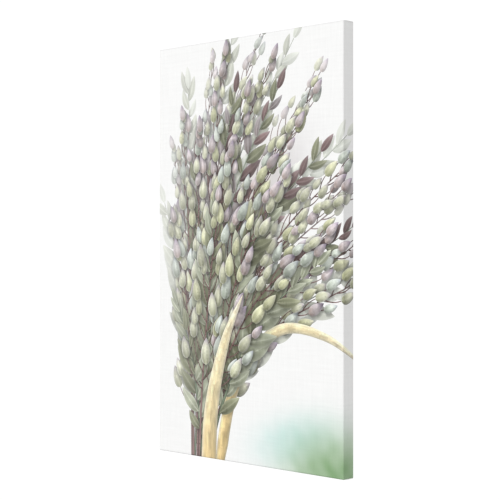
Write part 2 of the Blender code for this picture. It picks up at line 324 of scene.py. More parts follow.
def smooth_path(knots: Knots, step: float = PATH_STEP) -> Points:
    """Draws a smooth path through some knots.

    Args:
        knots: Points that the path passes through.
        step: Distance between the points of the path.

    Returns:
        Points at even steps along the path.
    """
    points = np.array(knots, float)
    padded = np.vstack([2 * points[0] - points[1], points, 2 * points[-1] - points[-2]])
    parts = 24
    share = np.linspace(0.0, 1.0, parts, endpoint=False)[:, None]
    pieces = []
    for a, b, c, d in zip(padded, padded[1:], padded[2:], padded[3:]):
        cubic = (3 * b - a - 3 * c + d) * share**3 + (2 * a - 5 * b + 4 * c - d) * share**2
        pieces.append(0.5 * (cubic + (c - a) * share + 2 * b))
    dense = np.vstack([*pieces, points[-1:]])
    along = np.concatenate([[0.0], np.cumsum(np.linalg.norm(np.diff(dense, axis=0), axis=1))])
    places = np.linspace(0.0, along[-1], max(4, int(along[-1] / step) + 1))
    return np.stack([np.interp(places, along, dense[:, i]) for i in (0, 1)], axis=1)


def rows_in_box(points: Points, rows: Rows, low: Points, high: Points) -> Rows:
    """Finds the points in a box.

    Args:
        points: The points.
        rows: The rows of the points to look at, from the lowest point to the highest.
        low: The box's lower left corner.
        high: Its upper right corner.

    Returns:
        Their rows.
    """
    start, end = np.searchsorted(points[rows, 1], [low[1], high[1]])
    rows = rows[start:end]
    across = points[rows, 0]
    return rows[(across > low[0]) & (across < high[0])]


@dataclass(frozen=True)
class Fall:
    """A value that falls evenly along a stem."""

    start: float
    drop: float

    def at(self, share: float) -> float:
        """The value at a share of the stem."""
        return self.start - self.drop * share


@dataclass(frozen=True)
class Wave:
    """A wave along an edge, whose phase may swing to make it uneven."""

    size: float
    rate: float
    swing: float = 0.0
    swing_rate: float = 0.0

    def at(self, places: Values) -> Values:
        """Its height at places along the edge."""
        return self.size * np.sin(places * self.rate + self.swing * np.sin(places * self.swing_rate))


@dataclass
class Picture:
    """The printed design: leaf sprays, forked stalks with buds, and dry blades.

    They rise from the lower left, before a ground with soft patches of colour. Places are
    millimetres on the flat sheet, with the front's middle at 0, 0. The design is laid out from
    seeded rules, and the far shapes come before the near ones.
    """

    seed: int = 7
    leaf_step: float = 2.8
    bud_step: float = 1.7
    long_shape: float = 24.0
    leaf_start: float = 0.3
    leaf_end: float = 0.985
    leaf_spread: float = 48.0
    leaf_closing: Fall = Fall(1.15, 0.5)
    leaf_bend: tuple[float, float] = (0.1, 0.75)
    pair_offset: float = 0.2
    least_leaf: float = 0.62
    leaf_swell: float = 0.5
    swell_lead: float = 0.12
    behind_share: float = 0.4
    stem_tip: float = 1.1
    stem_shadow: float = 0.35
    stalk_start: float = 0.3
    stalk_end: float = 0.97
    bud_ratio: float = 0.5
    bud_size: Fall = Fall(1.08, 0.3)
    bud_shadow: float = 1.2
    stalk_spread: float = 52.0
    stalk_closing: Fall = Fall(1.1, 0.5)
    stalk_reach: float = 46.0
    stalk_length: Fall = Fall(1.15, 0.75)
    stalk_steps: int = 9
    stalk_curve: float = 0.6
    panicle_widths: tuple[float, float] = (4.2, 1.4)
    stalk_widths: tuple[float, float] = (1.9, 1.2)
    quills: tuple[float, ...] = (-0.5, 0.0, 0.5)
    reed_shadow: float = 0.6
    sheet_foot: float = -346.0
    shade_reach: float = 5.0
    shade_offset: float = 1.6
    shade_share: float = 0.4
    deepest: float = 0.45
    wash_share: float = 0.24
    wash_start: float = 20.0
    wash_reach: float = 150.0
    shapes: list[Shape] = field(default_factory=list)

    SAGE = Tint(
        (128, 132, 110), (162, 167, 145), (192, 196, 176), (208, 212, 194), (206, 209, 193), veins=0.8
    )
    OLIVE = Tint(
        (92, 94, 74), (124, 127, 102), (154, 156, 132), (168, 170, 148), (164, 165, 143), veins=0.8
    )
    PALE = Tint(
        (186, 193, 172), (211, 217, 200), (231, 234, 222), (237, 240, 229), (235, 237, 226), veins=0.5
    )
    DUSK = Tint(
        (108, 98, 94), (144, 136, 136), (180, 175, 178), (188, 182, 184), (194, 190, 194), veins=0.6
    )
    CLARET = Tint(
        (86, 66, 64), (114, 94, 92), (146, 129, 130), (152, 134, 134), (154, 140, 142), veins=0.6
    )
    STEM = Tint(
        (86, 102, 82), (108, 122, 102), (140, 151, 127), (153, 163, 140), (84, 96, 78),
        round=0.22, relief=0.12,
    )
    WINE = Tint(
        (98, 72, 68), (124, 95, 90), (152, 122, 120), (166, 140, 138), (94, 70, 67), round=0.2
    )
    BUD = BudTint(
        (137, 139, 113), (204, 205, 181), (169, 160, 170), (224, 223, 206), (228, 227, 221)
    )
    COOL_BUD = BudTint(
        (135, 142, 128), (198, 205, 195), (171, 177, 184), (220, 225, 218), (228, 231, 227)
    )
    GREEN_BUD = BudTint(
        (137, 139, 107), (203, 204, 169), (214, 212, 192), (226, 226, 202), (224, 224, 204),
        tip_from=0.65,
    )
    MAUVE_BUD = BudTint(
        (142, 127, 120), (191, 181, 182), (155, 142, 161), (217, 210, 211), (223, 217, 221),
        tip_from=0.5, rib_share=0.25, rim_share=0.55,
    )
    STRAW = Tint(
        (214, 188, 132), (234, 221, 182), (243, 236, 214), (203, 178, 132), (248, 244, 230),
        tip_from=0.7, rib_width=0.9, rib_share=0.5, rim_share=0.5,
        relief=0.12, round=0.1, streaks=0.08, veins=-1.3,
    )
    CLOUDS = (
        Cloud((-4, 16), (60, 116), -22, (176, 166, 158), 0.55),
        Cloud((66, 96), (40, 74), -42, (188, 180, 182), 0.32),
        Cloud((-66, 20), (36, 84), 8, (208, 214, 192), 0.45),
        Cloud((96, -258), (76, 34), 12, (196, 232, 228), 0.7),
        Cloud((168, -300), (84, 56), 0, (146, 178, 136), 1.0),
    )

    def __post_init__(self) -> None:
        """Seeds the dice and lays out the whole design."""
        self.dice = np.random.default_rng(self.seed)
        self.lay_out()

    def near(self, value: float, share: float) -> float:
        """A value within a share of the one given."""
        return float(value * self.dice.uniform(1 - share, 1 + share))

    def blade(
        self,
        start: Points,
        angle: float,
        length: float,
        width: float,
        form: Form,
        tint: Tint,
        bend: float,
        fade: float,
        shadow: float = 0.5,
    ) -> Shape:
        """Makes one leaf or bud that curves evenly from its start.

        Args:
            start: Where it is attached.
            angle: Its heading at the start, in radians.
            length: Its length.
            width: Its full width.
            form: Its outline.
            tint: Its colours.
            bend: How far its heading turns by its tip, in radians.
            fade: How far it fades into the white ground.
            shadow: How strongly it darkens what lies under it.

        Returns:
            The shape.
        """
        is_long = length >= self.long_shape
        count = max(6, int(length / (self.leaf_step if is_long else self.bud_step)) + 1)
        along = np.linspace(0.0, 1.0, count)
        turns = angle + bend * along[:-1]
        steps = np.stack([np.cos(turns), np.sin(turns)], axis=1) * length / (count - 1)
        middle = np.vstack([start, start + np.cumsum(steps, axis=0)])
        half = 0.5 * width * form.width(along)
        ribs = self.quills if is_long else (0.0,)
        return Shape(middle, half, tint, fade, shadow, ribs, self.near(1.0, 0.09))

    def stem(self, path: Points, start: float, end: float, tint: Tint, fade: float) -> Shape:
        """A stem along a path, from a width at its start to one at its end."""
        half = 0.5 * np.linspace(start, end, len(path))
        return Shape(path, half, tint, fade, self.stem_shadow, tone=self.near(1.0, 0.05))

    def along(self, path: Points, share: float) -> tuple[Points, float]:
        """Finds a place on a path.

        Args:
            path: The path's points, at even steps.
            share: How far along it the place is, from 0 to 1.

        Returns:
            The place, and the path's heading there in radians.
        """
        place = share * (len(path) - 1)
        index = min(int(place), len(path) - 2)
        step = path[index + 1] - path[index]
        return path[index] + step * (place - index), math.atan2(step[1], step[0])

    def spray(
        self,
        knots: Knots,
        leaf: float,
        ratio: float,
        gap: float,
        tints: Sequence[Tint],
        fade: float = 0.0,
        thick: float = 4.0,
    ) -> None:
        """Lays out a stem with leaves on both sides.

        Args:
            knots: Points that the stem passes through, from its base.
            leaf: Length of the largest leaves.
            ratio: A leaf's width over its length.
            gap: Distance between pairs of leaves along the stem.
            tints: Colours that the leaves are picked from.
            fade: How far the spray fades into the white ground.
            thick: Width of the stem at its base.
        """
        path = smooth_path(knots)
        length = PATH_STEP * (len(path) - 1)
        behind, before = [], []
        share = self.leaf_start
        while share < self.leaf_end:
            run = (share - self.leaf_start) / (1 - self.leaf_start)
            swell = self.leaf_swell * math.sin(math.pi * min(1.0, run + self.swell_lead))
            size = leaf * (self.least_leaf + swell)
            for side in (-1, 1):
                point, angle = self.along(path, min(0.99, share + side * self.pair_offset * gap / length))
                open_by = math.radians(self.near(self.leaf_spread, 0.3)) * self.leaf_closing.at(share)
                bend = -side * self.dice.uniform(*self.leaf_bend)
                own = self.near(size, 0.16)
                tint = tints[int(self.dice.integers(len(tints)))]
                width = own * self.near(ratio, 0.14)
                shape = self.blade(point, angle + side * open_by, own, width, Form.LEAF, tint, bend, fade)
                (behind if self.dice.random() < self.behind_share else before).append(shape)
            share += self.near(gap, 0.2) / length
        point, angle = self.along(path, 1.0)
        last = self.least_leaf * leaf
        before.append(self.blade(point, angle, last, last * ratio, Form.LEAF, tints[0], 0.1, fade))
        self.shapes += [*behind, self.stem(path, thick, self.stem_tip, self.STEM, fade), *before]

    def bud_tint(self, run: float) -> Tint:
        """Picks a bud's colours, mauve being likelier towards the end of its panicle.

        Args:
            run: How far along the panicle the bud is, from 0 to 1.

        Returns:
            The bud's colours.
        """
        pick = self.dice.random()
        mauve = 0.05 + 0.29 * run**2
        if pick < mauve:
            return self.MAUVE_BUD
        choices = (self.BUD, self.BUD, self.COOL_BUD, self.GREEN_BUD)
        return choices[int(4 * (pick - mauve) / (1 - mauve)) % 4]

    def bud(self, point: Points, angle: float, length: float, tint: Tint, bend: float, fade: float) -> Shape:
        """A bud at the end of its stalk, of the usual width and shadow."""
        width = length * self.bud_ratio
        return self.blade(point, angle, length, width, Form.BUD, tint, bend, fade, self.bud_shadow)

    def panicle(self, knots: Knots, buds: float, gap: float, fade: float = 0.0) -> None:
        """Lays out an open panicle: wine-red stalks that fork off a stem, each with a large bud.

        Args:
            knots: Points that the stem passes through.
            buds: Length of the largest buds.
            gap: Distance between stalks along the stem.
            fade: How far the panicle fades into the white ground.
        """
        path = smooth_path(knots)
        length = PATH_STEP * (len(path) - 1)
        stalks, heads = [self.stem(path, *self.panicle_widths, self.WINE, fade)], []
        share, side = self.stalk_start, 1
        while share < self.stalk_end:
            point, angle = self.along(path, share)
            out = side * math.radians(self.near(self.stalk_spread, 0.35)) * self.stalk_closing.at(share)
            reach = self.near(self.stalk_reach, 0.35) * self.stalk_length.at(share)
            turns = angle + out - side * np.linspace(0.0, self.stalk_curve, self.stalk_steps)
            steps = np.stack([np.cos(turns), np.sin(turns)], axis=1) * reach / self.stalk_steps
            stalk = np.vstack([point, point + np.cumsum(steps, axis=0)])
            stalks.append(self.stem(stalk, *self.stalk_widths, self.WINE, fade))
            own = self.near(buds, 0.2) * self.bud_size.at(share)
            heads.append(self.bud(stalk[-1], turns[-1], own, self.bud_tint(share), -0.2 * side, fade))
            share += self.near(gap, 0.25) / length
            side = -side
        point, angle = self.along(path, 1.0)
        heads.append(self.bud(point, angle, 0.8 * buds, self.MAUVE_BUD, 0.1, fade))
        self.shapes += [*stalks, *heads]

    def reed(self, knots: Knots, width: float) -> None:
        """Lays out a long dry blade.

        Args:
            knots: Points that its middle passes through, from its base.
            width: Its full width.
        """
        path = smooth_path(knots, REED_STEP)
        half = 0.5 * width * Form.BLADE.width(np.linspace(0.0, 1.0, len(path)))
        self.shapes.append(Shape(path, half, self.STRAW, shadow=self.reed_shadow, ribs=self.quills))

    def arch(self, end: tuple[float, float], foot: float = -96.0) -> list[tuple[float, float]]:
        """Leads a stem up from the sheet's lower edge and out to its end.

        Args:
            end: Where it ends.
            foot: About how far across the sheet it starts.

        Returns:
            Points that the stem passes through.
        """
        base = np.array([foot + self.dice.uniform(-14, 14), self.sheet_foot])
        run = np.array(end) - base
        bow = self.dice.uniform(-0.04, 0.04)
        shares = ((0, 0), (0.13 + bow, 0.36), (0.47 + bow, 0.74), (1, 1))
        return [tuple(base + run * share) for share in shares]

    def lay_out(self) -> None:
        """Sets out the whole design, far shapes first."""
        soft, dark = (self.PALE, self.SAGE), (self.CLARET, self.DUSK, self.OLIVE)
        for end in ((-168, 70), (-116, 236), (-24, 312), (92, 286), (186, 150), (224, -20)):
            self.spray(self.arch(end), leaf=54, ratio=0.38, gap=27, tints=soft, fade=0.5)
        for end in ((-150, 150), (-66, 268), (30, 300), (140, 236), (212, 84)):
            self.panicle(self.arch(end), buds=27, gap=11.5, fade=0.36)
        for end in ((-98, 130), (-20, 222), (62, 220), (140, 130), (196, 30)):
            self.spray(self.arch(end), leaf=52, ratio=0.36, gap=27, tints=dark, fade=0.08)
        for end in ((-128, 190), (-40, 276), (52, 262), (128, 208), (208, 128), (226, 20)):
            self.panicle(self.arch(end), buds=30, gap=11.5, fade=0.06)
        for end in ((-92, 170), (2, 214), (96, 166), (176, 78), (206, -40), (-146, 40)):
            self.panicle(self.arch(end), buds=33, gap=12)
        self.reed([(-60, -350), (-20, -190), (60, -112), (150, -116), (236, -164)], width=22)
        near_tints = (self.SAGE, self.OLIVE)
        for end, leaf in (((-60, 60), 54), ((48, 50), 56), ((134, -20), 52), ((-140, -80), 46)):
            self.spray(self.arch(end, foot=-88), leaf, ratio=0.37, gap=24, tints=near_tints, thick=6)
        for end in ((-30, 130), (72, 96), (150, 20)):
            self.panicle(self.arch(end), buds=34, gap=12.5)
        self.reed([(-74, -350), (-68, -230), (-40, -130), (-4, -62)], width=31)

    def ground(self, points: Points) -> Values:
        """Colours the printed ground.

        Args:
            points: Places on the flat sheet.

        Returns:
            sRGB rows of 0 to 255.
        """
        rgb = np.repeat(Shape.PAPER[None, :], len(points), axis=0)
        for cloud in self.CLOUDS:
            share = cloud.mask(points) * (1 + 0.12 * slow_noise(points))
            rgb = blend(rgb, cloud.colour, share[:, None])
        return rgb

    def outlines(self) -> list[Points]:
        """Each shape's outline, in drawing order."""
        return [shape.outline() for shape in self.shapes]

    def inner_points(self) -> Points:
        """Places the points inside the shapes that carry their shading.

        Returns:
            The points that aren't hidden under other shapes.
        """
        rows = [(i, shape.line(across, 1)) for i, shape in enumerate(self.shapes) for across in shape.ribs]
        points = np.vstack([row for _, row in rows])
        owners = np.concatenate([np.full(len(row), number) for number, row in rows])
        return points[self.topmost(points) == owners]

    def topmost(self, points: Points) -> Rows:
        """Finds the topmost shape at each point.

        Args:
            points: Places on the flat sheet.

        Returns:
            The shapes' numbers, or -1 where there is none.
        """
        top = np.full(len(points), -1)
        order = np.argsort(points[:, 1])
        for number, outline in reversed(list(enumerate(self.outlines()))):
            rows = rows_in_box(points, order, outline.min(axis=0), outline.max(axis=0))
            rows = rows[top[rows] < 0]
            if len(rows):
                top[rows[within(points[rows], outline)]] = number
        return top

    def paint(self, points: Points, top: Rows) -> tuple[Values, Values]:
        """Colours points of the sheet, each seen as part of its topmost shape.

        Args:
            points: Places on the flat sheet.
            top: Number of the topmost shape at each place, or -1 where there is none.

        Returns:
            sRGB rows of 0 to 255, and rows of distance along, distance across and vein strength.
        """
        grain = slow_noise(points)
        rgb = self.ground(points)
        vein = np.zeros((len(points), 3))
        order = np.argsort(top, kind="stable")
        starts = np.searchsorted(top[order], np.arange(len(self.shapes) + 1))
        for number, shape in enumerate(self.shapes):
            rows = order[starts[number] : starts[number + 1]]
            if not len(rows):
                continue
            rgb[rows], along, across = shape.colours(points[rows], grain[rows])
            strength = np.full(len(rows), shape.tint.veins * (1 - shape.fade))
            vein[rows] = np.stack([along, across, strength], axis=1)
        shade = self.shade(points, top)
        rgb *= (1 - self.deepest * (1 - np.exp(-shade / self.deepest)))[:, None]
        left = smooth((-points[:, 0] - self.wash_start) / self.wash_reach) * (top >= 0)
        return blend(rgb, Shape.PAPER, self.wash_share * left[:, None]), vein

    def shade(self, points: Points, top: Rows) -> Values:
        """How much the shapes darken what lies under them, close to their edges.

        Args:
            points: Places on the flat sheet.
            top: Number of the topmost shape at each place.

        Returns:
            The shade at each place, from 0 up. The ground of the print takes none.
        """
        shade = np.zeros(len(points))
        drawn = np.flatnonzero(top >= 0)
        drawn = drawn[np.argsort(points[drawn, 1])]
        margin = 2 * self.shade_reach
        for number, shape in enumerate(self.shapes):
            low, high = shape.middle.min(axis=0) - margin, shape.middle.max(axis=0) + margin
            rows = rows_in_box(points, drawn, low, high)
            rows = rows[top[rows] < number]
            if not len(rows):
                continue
            _, across, share = shape.local(points[rows] + Shape.LIGHT * self.shade_offset)
            beyond = np.abs(across) * (1 - 1 / np.maximum(np.abs(share), 1.0))
            strength = self.shade_share * shape.shadow * (1 - shape.fade)
            shade[rows] += strength * np.exp(-((2 * beyond / self.shade_reach) ** 2))
        return shade


class Wire:
    """An output of a shader node, with Python's operators for numbers."""

    def __init__(self, nodes: Nodes, socket: bpy.types.NodeSocket) -> None:
        """Keeps the socket and the node maker that it belongs to."""
        self.nodes = nodes
        self.socket = socket

    def output(self, name: str) -> Wire:
        """Another output of the same node."""
        return Wire(self.nodes, self.socket.node.outputs[name])

    def math(self, operation: str, *terms: Term) -> Wire:
        """Puts a Math node on the given terms."""
        return self.nodes.add("ShaderNodeMath", dict(enumerate(terms)), operation=operation)

    def __add__(self, other: Term) -> Wire:
        """Self plus other."""
        return self.math("ADD", self, other)

    def __mul__(self, other: Term) -> Wire:
        """Self times other."""
        return self.math("MULTIPLY", self, other)

    def __sub__(self, other: Term) -> Wire:
        """Self less other."""
        return self.math("SUBTRACT", self, other)

    def __rsub__(self, other: Term) -> Wire:
        """Other less self."""
        return self.math("SUBTRACT", other, self)

    def __truediv__(self, other: Term) -> Wire:
        """Self over other."""
        return self.math("DIVIDE", self, other)

    __radd__ = __add__

    def above(self, limit: Term) -> Wire:
        """1 where self is more than the limit, else 0."""
        return self.math("GREATER_THAN", self, limit)

    def most(self, other: Term) -> Wire:
        """The larger of self and other."""
        return self.math("MAXIMUM", self, other)

    def least(self, other: Term) -> Wire:
        """The smaller of self and other."""
        return self.math("MINIMUM", self, other)

    def size(self) -> Wire:
        """Self without its sign."""
        return self.math("ABSOLUTE", self)

    def cosine(self) -> Wire:
        """The cosine of self."""
        return self.math("COSINE", self)

    def power(self, exponent: float) -> Wire:
        """Self to a power."""
        return self.math("POWER", self, exponent)

    def fraction(self) -> Wire:
        """Self less the whole number below it."""
        return self.math("FRACT", self)

    def ramp(self, start: float, end: float) -> Wire:
        """A smooth step from 0 to 1 as self goes from start to end, which may run downwards."""
        inputs = {"Value": self, "From Min": start, "From Max": end}
        return self.nodes.add("ShaderNodeMapRange", inputs, interpolation_type="SMOOTHSTEP")


Term = Wire | float
Sockets = dict[str | int, object]


class Nodes:
    """Makes the shader nodes of a material or of the surroundings."""

    def __init__(self, owner: bpy.types.Material | bpy.types.World) -> None:
        """Starts with no nodes.

        Args:
            owner: The material, or the surroundings.
        """
        self.owner = owner
        owner.use_nodes = True
        self.tree = owner.node_tree
        self.tree.nodes.clear()

    def add(self, kind: str, inputs: Sockets | None = None, out: str | int = 0, **settings: object) -> Wire:
        """Adds one node.

        Args:
            kind: The node's type.
            inputs: Values or links of its inputs, by name or number.
            out: The output that is wanted.
            settings: The node's own settings, which are set first.

        Returns:
            The node's output.
        """
        node = self.tree.nodes.new(kind)
        for name, value in settings.items():
            setattr(node, name, value)
        for name, value in (inputs or {}).items():
            socket = node.inputs[name]
            if isinstance(value, Wire):
                self.tree.links.new(value.socket, socket)
            elif socket.type == "RGBA":
                socket.default_value = (*value, 1.0)
            else:
                socket.default_value = value
        return Wire(self, node.outputs[out]) if node.outputs else None

    def attribute(self, name: str) -> Wire:
        """A mesh attribute, as a vector."""
        return self.add("ShaderNodeAttribute", out="Vector", attribute_name=name)

    def split(self, vector: Wire) -> tuple[Wire, Wire, Wire]:
        """A vector's three parts."""
        parts = self.add("ShaderNodeSeparateXYZ", {0: vector})
        return parts, parts.output("Y"), parts.output("Z")

    def join(self, x: Term, y: Term, z: Term) -> Wire:
        """A vector from its three parts."""
        return self.add("ShaderNodeCombineXYZ", {0: x, 1: y, 2: z})

    def place(self) -> Wire:
        """The place on the object, in millimetres."""
        inputs = {0: self.add("ShaderNodeTexCoord", out="Object"), 1: (1 / MM,) * 3}
        return self.add("ShaderNodeVectorMath", inputs, operation="MULTIPLY")

    def noise(self, vector: Wire, detail: float = 2.0, roughness: float = 0.5, scale: float = 1.0) -> Wire:
        """Smooth noise from 0 to 1 over a vector."""
        inputs = {"Vector": vector, "Scale": scale, "Detail": detail, "Roughness": roughness}
        return self.add("ShaderNodeTexNoise", inputs)

    def mix(self, share: Term, first: Wire | Rgb, second: Wire | Rgb) -> Wire:
        """A mix of two colours, the second taking the given share."""
        inputs = {0: share, 6: first, 7: second}
        return self.add("ShaderNodeMix", inputs, 2, data_type="RGBA")

    def tinted(self, colour: Wire | Rgb, factor: Wire) -> Wire:
        """A colour with its red, green and blue times one factor."""
        inputs = {0: colour, "Scale": factor}
        return self.add("ShaderNodeVectorMath", inputs, operation="SCALE")

    def bump(self, height: Wire, distance: float, strength: float) -> Wire:
        """A surface normal from heights of 0 to 1, the full height given in metres."""
        return self.add("ShaderNodeBump", {"Height": height, "Distance": distance, "Strength": strength})

    def finish(self, **inputs: object) -> bpy.types.Material:
        """Closes the material with its surface shader.

        Args:
            inputs: The surface shader's values or links, with _ for a space in a socket's name.

        Returns:
            The finished material.
        """
        named = {name.replace("_", " "): value for name, value in inputs.items()}
        surface = self.add("ShaderNodeBsdfPrincipled", named)
        self.add("ShaderNodeOutputMaterial", {"Surface": surface})
        return self.owner


@dataclass(frozen=True)
class CanvasFinish:
    """Coated poly-cotton canvas: inked in front, bare and cream behind."""

    white: Rgb = (0.905, 0.905, 0.898)
    back: Rgb = (0.70, 0.665, 0.58)
    back_fleck: Rgb = (0.56, 0.51, 0.41)
    thread: float = 0.9
    relief: float = 0.00009
    even_weave: float = 0.6
    front_drift: float = 0.09
    # The weave's tone is painted shade: the print, the white coat and the bare back are darker between the
    # threads than on their crowns.
    ink_weave_shade: float = 0.04
    coat_weave_shade: float = 0.068
    back_drift: float = 0.16
    back_weave_shade: float = 0.22
    drift_across: float = 0.3
    drift_along: float = 0.018
    drift_height: float = 0.8
    front_height: float = 0.75
    fleck_share: float = 0.35
    speck_share: float = 0.5
    inked_roughness: float = 0.72
    bare_roughness: float = 0.9
    specular: float = 0.25
    vein_spacing: float = 3.1
    vein_slant: float = 0.9
    vein_wobble: float = 1.6
    vein_tone: float = 0.13
    rib_tone: float = 0.24
    streak_tone: float = 0.9
    # Painted shade along the front's bent edges: its strength at the sides, the top and the bottom, and its
    # reach.
    side_bend_shade: float = 0.08
    top_bend_shade: float = 0.09
    bottom_bend_shade: float = 0.24
    bend_shade_reach: float = 2.2

    def threads(self, nodes: Nodes, s: Wire, t: Wire) -> tuple[Wire, Wire]:
        """Weaves the threads, each over one and under the next, and makes them uneven.

        Args:
            nodes: The material's nodes.
            s: Places across the sheet.
            t: Places up it.

        Returns:
            The weave's heights from 0 to 1, and the unevenness from -1 to 1, which is noise drawn
            out along the warp plus noise drawn out along the weft.
        """
        x, y = s / self.thread, t / self.thread
        across_warp = ((x.fraction() - 0.5) * math.pi).cosine()
        across_weft = ((y.fraction() - 0.5) * math.pi).cosine()
        cell = ((x - x.fraction()) + (y - y.fraction())) * 0.5
        over = cell.fraction().above(0.25) * 2.0 - 1.0
        warp = across_warp * (0.5 + over * across_weft * 0.5)
        weft = across_weft * (0.5 - over * across_warp * 0.5)
        across, along = self.drift_across, self.drift_along
        drift = nodes.noise(nodes.join(s * across, t * along, 0.0), detail=3.0, roughness=0.6)
        drift += nodes.noise(nodes.join(s * along, t * across, 7.0), detail=3.0, roughness=0.6)
        return warp.most(weft), drift - 1.0

    def veins(self, nodes: Nodes) -> Wire:
        """Draws the printed veins of leaves and the fine streaks of buds and dry blades.

        Args:
            nodes: The material's nodes.

        Returns:
            How much lighter or darker each place gets, about 0.
        """
        along, across, strength = nodes.split(nodes.attribute("vein"))
        wobble = nodes.noise(nodes.join(along * 0.3, across * 0.3, strength))
        place = along - across.size() * self.vein_slant + wobble * self.vein_wobble
        place = place / self.vein_spacing
        side = ((place.fraction() - 0.5).size()).ramp(0.40, 0.5)
        rib = across.size().ramp(0.75, 0.15)
        leaf = (side * self.vein_tone + rib * self.rib_tone) * strength.most(0.0)
        hair = nodes.noise(nodes.join(along * 0.05, across * 1.9, 3.0), detail=3.0, roughness=0.6)
        return leaf + (hair - 0.5) * (0.0 - strength).most(0.0) * self.streak_tone

    def bend_shade(self, nodes: Nodes, s: Wire, t: Wire, bends: Sequence[float]) -> Wire:
        """Paints shade unevenly along the bends at the front's edges, the most along the bottom one.

        Args:
            nodes: The material's nodes.
            s: Places across the sheet.
            t: Places up it.
            bends: Distances from the sheet's middle to its front bends.

        Returns:
            How much darker each place gets, from 0 up.
        """
        side = (s.size() - bends[0]).size().ramp(self.bend_shade_reach, 0.0) * self.side_bend_shade
        top = (t - bends[1]).size().ramp(self.bend_shade_reach, 0.0) * self.top_bend_shade
        bottom = (t + bends[1]).size().ramp(self.bend_shade_reach, 0.0) * self.bottom_bend_shade
        patchy = nodes.noise(nodes.join(s * 0.09, t * 0.09, 5.0), detail=3.0, roughness=0.6)
        return side.most(top).most(bottom) * (patchy + 0.5)

    def material(self, bends: Sequence[float]) -> bpy.types.Material:
        """Builds the canvas material.

        Args:
            bends: Distances from the sheet's middle to its front bends, across it and up it.

        Returns:
            The material.
        """
        nodes = Nodes(bpy.data.materials.new("printed_canvas"))
        s, t, face = nodes.split(nodes.attribute("flat"))
        ink = nodes.add("ShaderNodeAttribute", out="Color", attribute_name="ink")
        inked = ink.output("Alpha")
        weave, drift = self.threads(nodes, s, t)
        behind = face.above(0.5)
        # Painted shade along the front's bent edges, darkest along the bottom.
        painted_bend_shade = self.bend_shade(nodes, s, t, bends)
        # Painted shade of the weave: the print and the coat are lighter where the threads stand high and
        # darker where they lie low.
        rise = weave - self.even_weave
        uneven = 1.0 + drift * self.front_drift
        tone = uneven + rise * self.ink_weave_shade + self.veins(nodes) - painted_bend_shade
        coat = nodes.tinted(self.white, uneven + rise * self.coat_weave_shade - painted_bend_shade)
        front = nodes.mix(inked, coat, nodes.tinted(ink, tone))
        fleck = nodes.noise(nodes.join(s * 0.5, t * 0.5, 3.0), detail=3.0).ramp(0.56, 0.72)
        speck = nodes.noise(nodes.join(s * 1.7, t * 1.7, 9.0), detail=1.0).ramp(0.7, 0.78)
        spots = (fleck * self.fleck_share + speck * self.speck_share).least(1.0)
        cream = nodes.mix(spots, self.back, self.back_fleck)
        # The bare back also gets painted shade between its threads.
        cream = nodes.tinted(cream, 1.0 + drift * self.back_drift + rise * self.back_weave_shade)
        colour = nodes.mix(behind, front, cream)
        rough = self.bare_roughness - inked * (self.bare_roughness - self.inked_roughness)
        front_height = self.front_height + behind * (1.0 - self.front_height)
        height = weave * front_height + drift * self.drift_height
        normal = nodes.bump(height, self.relief, 0.8)
        return nodes.finish(
            Base_Color=colour, Roughness=rough, Normal=normal, Specular_IOR_Level=self.specular
        )


class Grain(Enum):
    """The world axis that a piece of wood's grain runs along."""

    ACROSS = 0
    UPRIGHT = 2


@dataclass(frozen=True)
class Knot:
    """A knot in a piece of wood: its place along the grain and across it, in millimetres."""

    along: float
    level: float
    radius: float = 2.4
    reach: float = 20.0
    stretch: float = 1.5
    push: float = 0.85
    ring: float = 0.9


